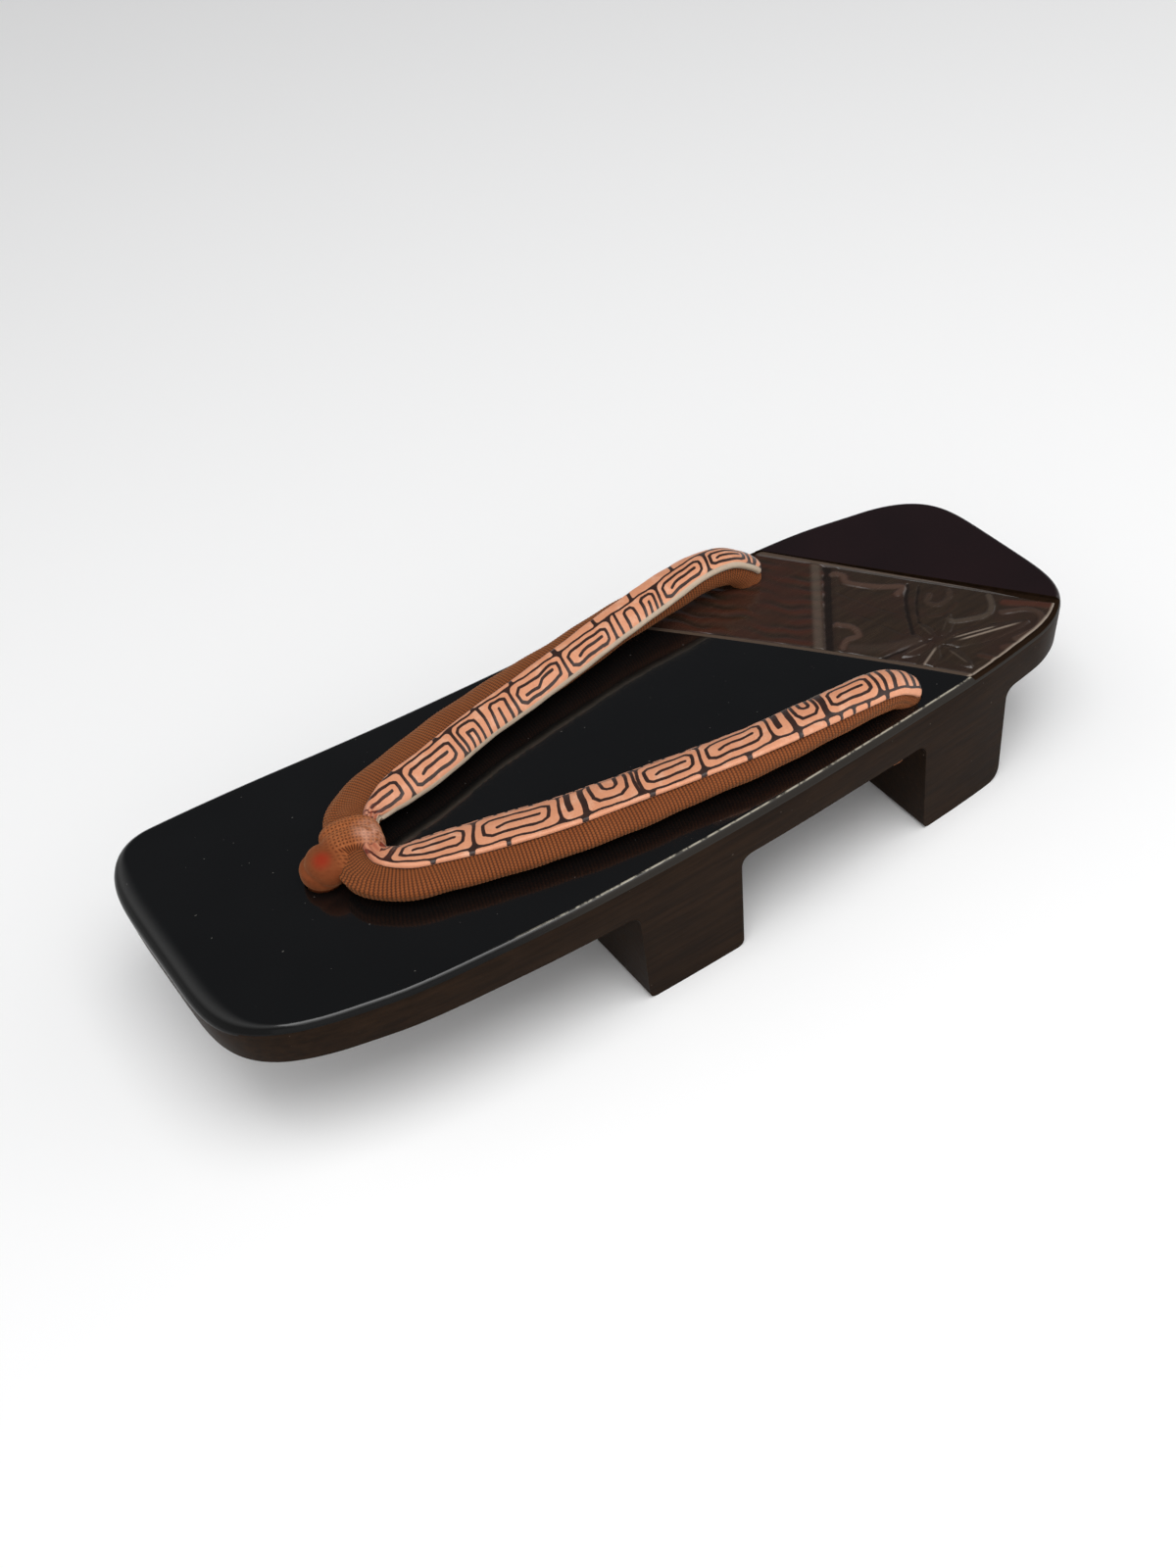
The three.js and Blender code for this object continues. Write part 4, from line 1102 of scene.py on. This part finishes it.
def printedFacing():
    # Dyed and pressed leather: a salmon ground with dark lines, rubbed and mottled, a cream cut edge on
    # its inner side, painted shade in the pleats where it tucks in at the front, and a low gloss
    material = bpy.data.materials.get("printedFacing")
    if material:
        return material
    material, tree, shader = newMaterial("printedFacing")
    where = node(tree, "ShaderNodeTexCoord", out="Object")
    ink, inner, tuckShade = (node(tree, "ShaderNodeAttribute", out="Fac", attribute_name=name)
                          for name in ("ink", "fromInner", "tuckShade"))
    fray, cloud, wear, spots, lineTone, grain = (
        node(tree, "ShaderNodeTexNoise",
             {"Vector": where, "Scale": perMm(size), "Detail": detail, "Roughness": rough})
        for size, detail, rough in ((0.35, 2.0, 0.55), (6.0, 3.0, 0.55), (3.0, 4.0, 0.55), (0.45, 3.0, 0.7),
                                    (1.2, 2.0, 0.55), (0.3, 3.0, 0.55)))
    frayed = node(tree, "ShaderNodeMath", {0: ink, 1: 0.08}, operation="SUBTRACT")
    frayed = node(tree, "ShaderNodeMath", {0: fray, 1: 0.16, 2: frayed}, **timesPlus)
    dark = node(tree, "ShaderNodeMapRange", {0: frayed, 1: 0.07, 2: -0.07}, **smooth)
    deep, light = (srgb(code) for code in facingFinish["ground"])
    color = node(tree, "ShaderNodeMix", {0: cloud, 6: deep, 7: light}, 2, **colors)
    rubbed = node(tree, "ShaderNodeMapRange", {0: wear, 1: 0.5, 2: 0.72, 4: 0.3}, **smooth)
    color = node(tree, "ShaderNodeMix", {0: rubbed, 6: color, 7: srgb(facingFinish["rubbed"])}, 2, **colors)
    mottle = node(tree, "ShaderNodeMapRange", {0: spots, 1: 0.42, 2: 0.7, 4: 0.28}, **smooth)
    color = node(tree, "ShaderNodeMix", {0: mottle, 6: color, 7: srgb(facingFinish["mottle"])}, 2, **colors)
    black, brown = (srgb(code) for code in facingFinish["line"])
    line = node(tree, "ShaderNodeMix", {0: lineTone, 6: black, 7: brown}, 2, **colors)
    color = node(tree, "ShaderNodeMix", {0: dark, 6: color, 7: line}, 2, **colors)
    # Painted shade in the pleats where the facing tucks in under the loop
    tuckShadeShare = node(tree, "ShaderNodeMath", {0: tuckShade, 1: 0.75}, **times)
    color = node(tree, "ShaderNodeMix", {0: tuckShadeShare, 6: color, 7: srgb(facingFinish["tuckShade"])}, 2, **colors)
    edge = node(tree, "ShaderNodeMapRange",
                {0: inner, 1: facingFinish["edgeFrom"], 2: facingFinish["edgeTo"], 4: 0.92}, **smooth)
    color = node(tree, "ShaderNodeMix", {0: edge, 6: color, 7: srgb(facingFinish["cutEdge"])}, 2, **colors)
    rough = node(tree, "ShaderNodeMath", {0: dark, 1: -0.08, 2: 0.46}, **timesPlus)
    height = node(tree, "ShaderNodeMath", {0: grain, 1: 0.5}, **times)
    height = node(tree, "ShaderNodeMath", {0: dark, 1: -0.8, 2: height}, **timesPlus)
    normal = node(tree, "ShaderNodeBump",
                  {"Height": height, "Distance": facingFinish["relief"] * mm, "Strength": 1.0})
    connect(tree, shader, color=color, roughness=rough, normal=normal, specular=0.5, sheen=0.12,
            sheenRoughness=0.4)
    return material


def makeFacing(side):
    plan = chart[side]
    arm = strapStations(side)
    st = resample(arm, arm["along"], np.arange(0, arm["along"][-1], chart["cell"]))
    low, high = strap["gap"], strap["gap"] + strap["facing"]
    start = plan["from"]
    keep = (st["along"] >= start - plan["tuck"]) & (st["along"] <= arm["along"][-1] - chart["endBefore"])
    st = {key: values[keep] for key, values in st.items()}
    columns = chart["columns"]
    share = np.linspace(0, 1, columns)
    turns = st["inner"][:, None] + (st["outer"] - st["inner"])[:, None] * share[None, :]
    t = aroundLengths(strapPoints(st, turns, high))
    s = np.broadcast_to(st["along"][:, None], turns.shape) - start
    ink = inkDistance(s, t, t[:, -1:], plan)
    edge = np.minimum(t, t[:, -1:] - t)
    line = smoothstep(-0.1, 0.2, -ink)
    crease = 0.08 * np.sin(s * 0.55 + 2 * share) * np.sin(s * 0.19)
    gather = np.exp(-((s + plan["tuck"]) / 7.0) ** 2) * 0.3 * np.sin(share * math.pi * 7)
    level = np.clip(edge / chart["edgeRound"], 0, 1)
    roundOff = -chart["edgeDrop"] * (1 - np.sqrt(np.clip(1 - (1 - level) ** 2, 0, 1)))
    upper = strapPoints(st, turns, high - chart["lineDepth"] * line + crease + gather + roundOff)
    lower = strapPoints(st, turns, np.full(turns.shape, low))
    rows = len(upper)
    size = rows * columns
    sheet = gridFaces(rows, columns)
    faces = [f[::-1] for f in sheet] + [tuple(size + i for i in f) for f in sheet]
    rim = (list(range(columns)) + [r * columns + columns - 1 for r in range(1, rows)]
           + [(rows - 1) * columns + c for c in range(columns - 2, -1, -1)]
           + [r * columns for r in range(rows - 2, 0, -1)])
    for i in range(len(rim)):
        a, b = rim[i], rim[(i + 1) % len(rim)]
        faces.append((a, b, size + b, size + a))
    if side == "medial":
        faces = [f[::-1] for f in faces]
    points = np.concatenate([upper.reshape(-1, 3), lower.reshape(-1, 3)])
    piece = newObject("facing" + side.capitalize(), points, faces)
    pointAttribute(piece, "ink", np.concatenate([ink.ravel(), np.full(size, 1.0)]))
    pointAttribute(piece, "fromInner", np.concatenate([t.ravel(), np.zeros(size)]))
    # Painted shade: darker in the pleats near the front end, where the facing tucks in
    pleats = 0.4 + 0.6 * np.sin(share * math.pi * 7 + math.pi / 2) ** 2
    tuckShade = np.exp(-((s + plan["tuck"]) / 7.0) ** 2) * pleats
    pointAttribute(piece, "tuckShade", np.concatenate([tuckShade.ravel(), np.zeros(size)]))
    piece.data.materials.append(printedFacing())
    return piece


# The front loop

loop = {
    "width": 9.6,
    "depth": 14.2,
    "height": 9.6,
    "turn": -0.33,
    "squareness": 0.84,
    "bulge": (11.6, 9.6, 8.6),
    "bulgeLateral": 1.6,
    "bulgeBehind": 0.8,
    "bulgePower": 0.94,
    "lobeFromBulge": (2.6, 2.0, 0.3),
    "lobe": (3.4, 3.0, 3.4),
    "footFromHole": (0.4, 0.1, 2.4),
    "foot": (5.5, 5.25, 2.4),
    "footPower": 0.55,
    "stemPower": 0.45,
    "voxel": 0.22,
    "softenSteps": 14,
    "cellsRadius": 6.0,
    "wrinkle": 0.28,
}


def sleeveMesh():
    front, _ = holeEnds("front")
    count, rows = 120, 60
    share = np.linspace(-1, 1, rows)
    angle = np.linspace(0, 2 * math.pi, count, endpoint=False)
    c, s = np.cos(angle), np.sin(angle)
    power = loop["squareness"]
    y = np.sign(c) * np.abs(c) ** power * loop["depth"] / 2
    z = np.sign(s) * np.abs(s) ** power * loop["height"] / 2
    swell = 1 - 0.16 * np.abs(share) ** 5
    folds = 1 + 0.02 * np.sin(angle * 3 + 1.2)[None, :] * np.cos(share * 2.2)[:, None]
    x = np.tile((share * loop["width"] / 2)[:, None], (1, count))
    pinch = 1 - 0.05 * np.exp(-((share[:, None] + 0.2) / 0.18) ** 2) * (s[None, :] > 0)
    py = y[None, :] * swell[:, None] * folds * pinch
    pz = z[None, :] * swell[:, None] * folds * pinch
    turn = loop["turn"]
    gx = x * math.cos(turn) - py * math.sin(turn) + front[0]
    gy = x * math.sin(turn) + py * math.cos(turn) + front[1] + strap["jointBehind"]
    gz = pz + top + strap["gap"] + loop["height"] / 2
    points = np.stack([gx, gy, gz], axis=2).reshape(-1, 3)
    faces = gridFaces(rows, count, closed=True)
    faces.append(tuple(range(count - 1, -1, -1)))
    faces.append(tuple((rows - 1) * count + i for i in range(count)))
    ring = np.stack([py[0], pz[0]], axis=1)
    step = np.linalg.norm(np.diff(np.concatenate([ring, ring[:1]]), axis=0), axis=1)
    length = np.concatenate([[0], np.cumsum(step)[:-1]])
    uv = np.stack([x, np.tile(length, (rows, 1))], axis=2).reshape(-1, 2)
    return points, faces, uv


squareFinish = {"low": ("4a2009", "632f13"), "high": ("93522b", "b0693b"), "bare": "602408",
                "sheen": "e0a878",
                "spot": "8a2008", "spotAt": (1.8, -79.3, 49.9), "rubbed": "cf9a83",
                "rubbedAt": (1.4, -65.5, 50.0),
                "pitch": 0.95, "relief": 0.18}


def squareCloth():
    # Plain woven cotton in brown with square cells: rubbed pale behind, smooth and reddish on the bulge
    material, tree, shader = newMaterial("squareCloth")
    where = node(tree, "ShaderNodeTexCoord", out="Object")
    behind = node(tree, "ShaderNodeSeparateXYZ", {0: where}, 1)
    waves = []
    for name in ("weaveAcross", "weaveRound"):
        length = node(tree, "ShaderNodeAttribute", out="Fac", attribute_name=name)
        angle = node(tree, "ShaderNodeMath",
                     {0: length, 1: math.pi / (squareFinish["pitch"] * mm)}, **times)
        waves.append(node(tree, "ShaderNodeMath", {0: angle}, operation="SINE"))
    flat = [node(tree, "ShaderNodeMath", {0: wave}, operation="ABSOLUTE") for wave in waves]
    cell = node(tree, "ShaderNodeMath", {0: waves[0], 1: waves[1]}, **times)
    grid = node(tree, "ShaderNodeMath", {0: flat[0], 1: flat[1]}, operation="MAXIMUM")
    height = node(tree, "ShaderNodeMath", {0: cell, 1: 0.12, 2: grid}, **timesPlus)
    woven = node(tree, "ShaderNodeMapRange",
                 {0: behind, 1: -77.5 * mm, 2: -73.5 * mm, 3: 0.15, 4: 1.0}, **smooth)
    height = node(tree, "ShaderNodeMath", {0: height, 1: 0.8}, operation="SUBTRACT")
    height = node(tree, "ShaderNodeMath", {0: height, 1: woven, 2: 0.8}, **timesPlus)
    lit = node(tree, "ShaderNodeMapRange", {0: height, 1: 0.25, 2: 1.15}, **smooth)
    cloud = node(tree, "ShaderNodeTexNoise",
                 {"Vector": where, "Scale": perMm(3.2), "Detail": 3.0, "Roughness": 0.55})
    wear = node(tree, "ShaderNodeTexNoise",
                {"Vector": where, "Scale": perMm(2.6), "Detail": 4.0, "Roughness": 0.55})
    fuzz = node(tree, "ShaderNodeTexNoise",
                {"Vector": where, "Scale": perMm(0.2), "Detail": 2.0, "Roughness": 0.55})
    low, high = (node(tree, "ShaderNodeMix", {0: cloud, 6: srgb(a), 7: srgb(b)}, 2, **colors)
                 for a, b in (squareFinish["low"], squareFinish["high"]))
    color = node(tree, "ShaderNodeMix", {0: lit, 6: low, 7: high}, 2, **colors)
    bare = node(tree, "ShaderNodeMath", {0: 1.15, 1: woven}, operation="SUBTRACT")
    bare = node(tree, "ShaderNodeMath", {0: bare, 1: 0.62}, **times)
    color = node(tree, "ShaderNodeMix", {0: bare, 6: color, 7: srgb(squareFinish["bare"])}, 2, **colors)
    toSpot, toPatch = (node(tree, "ShaderNodeVectorMath",
                            {0: where, 1: tuple(v * mm for v in squareFinish[name])},
                            1, operation="DISTANCE") for name in ("spotAt", "rubbedAt"))
    spot = node(tree, "ShaderNodeMapRange", {0: toSpot, 1: 3.4 * mm, 2: 0.6 * mm, 4: 0.8}, **smooth)
    color = node(tree, "ShaderNodeMix", {0: spot, 6: color, 7: srgb(squareFinish["spot"])}, 2, **colors)
    near = node(tree, "ShaderNodeMapRange", {0: toPatch, 1: 6.2 * mm, 2: 2.0 * mm, 4: 0.8}, **smooth)
    worn = node(tree, "ShaderNodeMapRange", {0: wear, 1: 0.3, 2: 0.7}, **smooth)
    patch = node(tree, "ShaderNodeMath", {0: near, 1: worn}, **times)
    color = node(tree, "ShaderNodeMix", {0: patch, 6: color, 7: srgb(squareFinish["rubbed"])}, 2, **colors)
    height = node(tree, "ShaderNodeMath", {0: fuzz, 1: 0.3, 2: height}, **timesPlus)
    normal = node(tree, "ShaderNodeBump",
                  {"Height": height, "Distance": squareFinish["relief"] * mm, "Strength": 1.0})
    connect(tree, shader, color=color, roughness=0.85, normal=normal, specular=0.2, sheen=0.35,
            sheenRoughness=0.4, sheenTint=srgb(squareFinish["sheen"]))
    return material


def makeLoop():
    front, _ = holeEnds("front")
    bx, by, bz = loop["bulge"]
    centre = (front[0] + loop["bulgeLateral"], front[1] + loop["bulgeBehind"], top + strap["gap"] + bz / 2)
    bulge = ballMesh(centre, (bx / 2 - 0.15, by / 2 - 0.15, bz / 2 - 0.1), 96, 64, loop["bulgePower"])
    lobe = ballMesh([c + by for c, by in zip(centre, loop["lobeFromBulge"])], loop["lobe"], 64, 40)
    side, behind, up = loop["footFromHole"]
    footAt = (front[0] + side, front[1] + behind, top + strap["gap"] + up)
    foot = ballMesh(footAt, loop["foot"], 64, 40, loop["footPower"])
    radius = board["holeDiameter"] / 2 - strap["gap"]
    stemAt = (front[0], front[1], (under + top) / 2)
    stem = ballMesh(stemAt, (radius, radius, board["thickness"] * 0.62), 48, 40, loop["stemPower"])
    points, faces, _ = mergeMeshes([sleeveMesh(), bulge, lobe, foot, stem, knotMesh("front")])
    piece = newObject("maetsuboCloth", points, faces)
    remesh = piece.modifiers.new("join", "REMESH")
    remesh.mode = "VOXEL"
    remesh.voxel_size = loop["voxel"] * mm
    soften = piece.modifiers.new("soften", "SMOOTH")
    soften.factor = 0.5
    soften.iterations = loop["softenSteps"]
    bake(piece)
    piece.data.shade_smooth()
    places = np.empty(len(piece.data.vertices) * 3)
    piece.data.vertices.foreach_get("co", places)
    places = places.reshape(-1, 3) / mm
    turn = loop["turn"]
    dx, dy = places[:, 0] - front[0], places[:, 1] - front[1] - strap["jointBehind"]
    axis = dx * math.cos(turn) + dy * math.sin(turn)
    deep = -dx * math.sin(turn) + dy * math.cos(turn)
    high = places[:, 2] - top - strap["gap"] - loop["height"] / 2
    angle = np.arctan2(high, deep)
    normal = np.empty(len(places) * 3)
    piece.data.vertices.foreach_get("normal", normal)
    folds = np.sin(axis * 1.1 + 1.2 * np.sin(angle * 2)) * smoothstep(-1.0, 3.0, deep)
    folds = folds * loop["wrinkle"] * smoothstep(-2.5, 1.0, high)
    places += normal.reshape(-1, 3) * (folds * 0.5 - 0.08)[:, None]
    piece.data.vertices.foreach_set("co", (places * mm).ravel())
    piece.data.update()
    pointAttribute(piece, "weaveAcross", axis * mm)
    pointAttribute(piece, "weaveRound", angle * loop["cellsRadius"] * mm)
    piece.data.materials.append(squareCloth())
    return piece


# Studio

studio = {
    "floorReach": 2500,
    "floor": "fafafa",
    "lights": (  # name, place, aimed at, size, watts
        ("keyLight", (260, -60, 900), (0, 0, 0), (700, 700), 5.0),
        ("sideLight", (900, -350, 420), (0, 0, 20), (1300, 900), 2.2),
        ("rearLight", (260, 900, 420), (0, 60, 30), (1100, 700), 1.6),
    ),
    "sky": (0.9, 0.9, 0.9, 1.0),
    "darkSide": (0.085, 0.09, 0.1, 1.0),
    "darkToward": (-0.60, 0.46, 0.65),
    "darkFrom": 0.45,
    "darkTo": 0.86,
    "skyStrength": 0.8,
}
view = {
    "place": (291.27, -160.11, 321.22),
    "forward": (-0.5875, 0.3752, -0.7170),
    "right": (0.5383, 0.8428, 0.0),
    "roll": -0.08701,
    "focal": 1.1004,
    "zoom": 1.42,
    "shift": (-0.0869, 0.0707),
}


def areaLight(name, place, target, size, watts):
    data = bpy.data.lights.new(name, "AREA")
    data.shape = "RECTANGLE"
    data.size, data.size_y = (v * mm for v in size)
    data.energy = watts
    light = bpy.data.objects.new(name, data)
    light.location = Vector(place) * mm
    toward = Vector(target) * mm - light.location
    light.rotation_euler = toward.to_track_quat("-Z", "Y").to_euler()
    bpy.context.scene.collection.objects.link(light)


def makeStage():
    reach = studio["floorReach"]
    points = [(-reach, -reach, 0), (reach, -reach, 0), (reach, reach, 0), (-reach, reach, 0)]
    floor = newObject("studioFloor", points, [(0, 1, 2, 3)], smoothShaded=False)
    material, tree, shader = newMaterial("paleFloor")
    connect(tree, shader, color=srgb(studio["floor"]), roughness=0.9, specular=0.1)
    floor.data.materials.append(material)
    for light in studio["lights"]:
        areaLight(*light)


def makeWorld():
    # A pale room with a dark side, which the lacquer mirrors towards the photograph's camera
    world = bpy.data.worlds.new("studioWorld")
    bpy.context.scene.world = world
    world.use_nodes = True
    tree = world.node_tree
    background = tree.nodes.get("Background")
    toward = node(tree, "ShaderNodeTexCoord", out="Generated")
    facing = node(tree, "ShaderNodeVectorMath",
                  {0: toward, 1: studio["darkToward"]}, 1, operation="DOT_PRODUCT")
    share = node(tree, "ShaderNodeMapRange",
                 {0: facing, 1: studio["darkFrom"], 2: studio["darkTo"]}, **smooth)
    color = node(tree, "ShaderNodeMix", {0: share, 6: studio["sky"], 7: studio["darkSide"]}, 2, **colors)
    tree.links.new(color, background.inputs[0])
    background.inputs[1].default_value = studio["skyStrength"]


def makeCamera():
    forward = Vector(view["forward"])
    right = Vector(view["right"])
    upward = right.cross(forward)
    sensor = 36.0  # millimetres of film
    c, s = math.cos(view["roll"]), math.sin(view["roll"])
    right, upward = right * c + upward * s, upward * c - right * s
    data = bpy.data.cameras.new("photoCamera")
    camera = bpy.data.objects.new("photoCamera", data)
    matrix = Matrix((right, upward, -forward)).transposed().to_4x4()
    matrix.translation = Vector(view["place"]) * mm
    camera.matrix_world = matrix
    data.sensor_fit = "HORIZONTAL"
    data.sensor_width = sensor
    data.lens = view["focal"] * view["zoom"] * sensor
    data.shift_x = view["shift"][0] * view["zoom"]
    data.shift_y = view["shift"][1] * view["zoom"]
    data.clip_start = 0.01
    bpy.context.scene.collection.objects.link(camera)
    bpy.context.scene.camera = camera


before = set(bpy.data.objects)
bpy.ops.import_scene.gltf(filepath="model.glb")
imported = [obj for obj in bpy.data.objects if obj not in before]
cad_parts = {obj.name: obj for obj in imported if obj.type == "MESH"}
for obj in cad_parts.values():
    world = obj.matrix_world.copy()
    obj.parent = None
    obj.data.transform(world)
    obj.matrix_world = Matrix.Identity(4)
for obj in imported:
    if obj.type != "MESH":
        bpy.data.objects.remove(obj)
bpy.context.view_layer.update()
print("scene: board and carved band")
boardPiece = makeBoard()
carved = makeBand()
print("scene: strap")
cloth = makeStrap()
print("scene: facings")
lateral = makeFacing("lateral")
medial = makeFacing("medial")
print("scene: front loop")
frontLoop = makeLoop()

rows = (  # piece, the nodes that it replaces, its material slot
    (boardPiece, ("dai",), "lacquered_wood"),
    (carved, (), "lacquered_wood"),
    (cloth, ("hanao",), "strap_weave"),
    (lateral, ("facing_lateral",), "printed_facing"),
    (medial, ("facing_medial",), "printed_facing"),
    (frontLoop, ("maetsubo",), "loop_weave"),
)
for piece, nodes, slot in rows:
    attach(piece, "root")
    if nodes:
        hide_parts(*nodes)

print("scene: studio")
makeStage()
makeWorld()
makeCamera()
bpy.context.scene.view_settings.view_transform = "Standard"
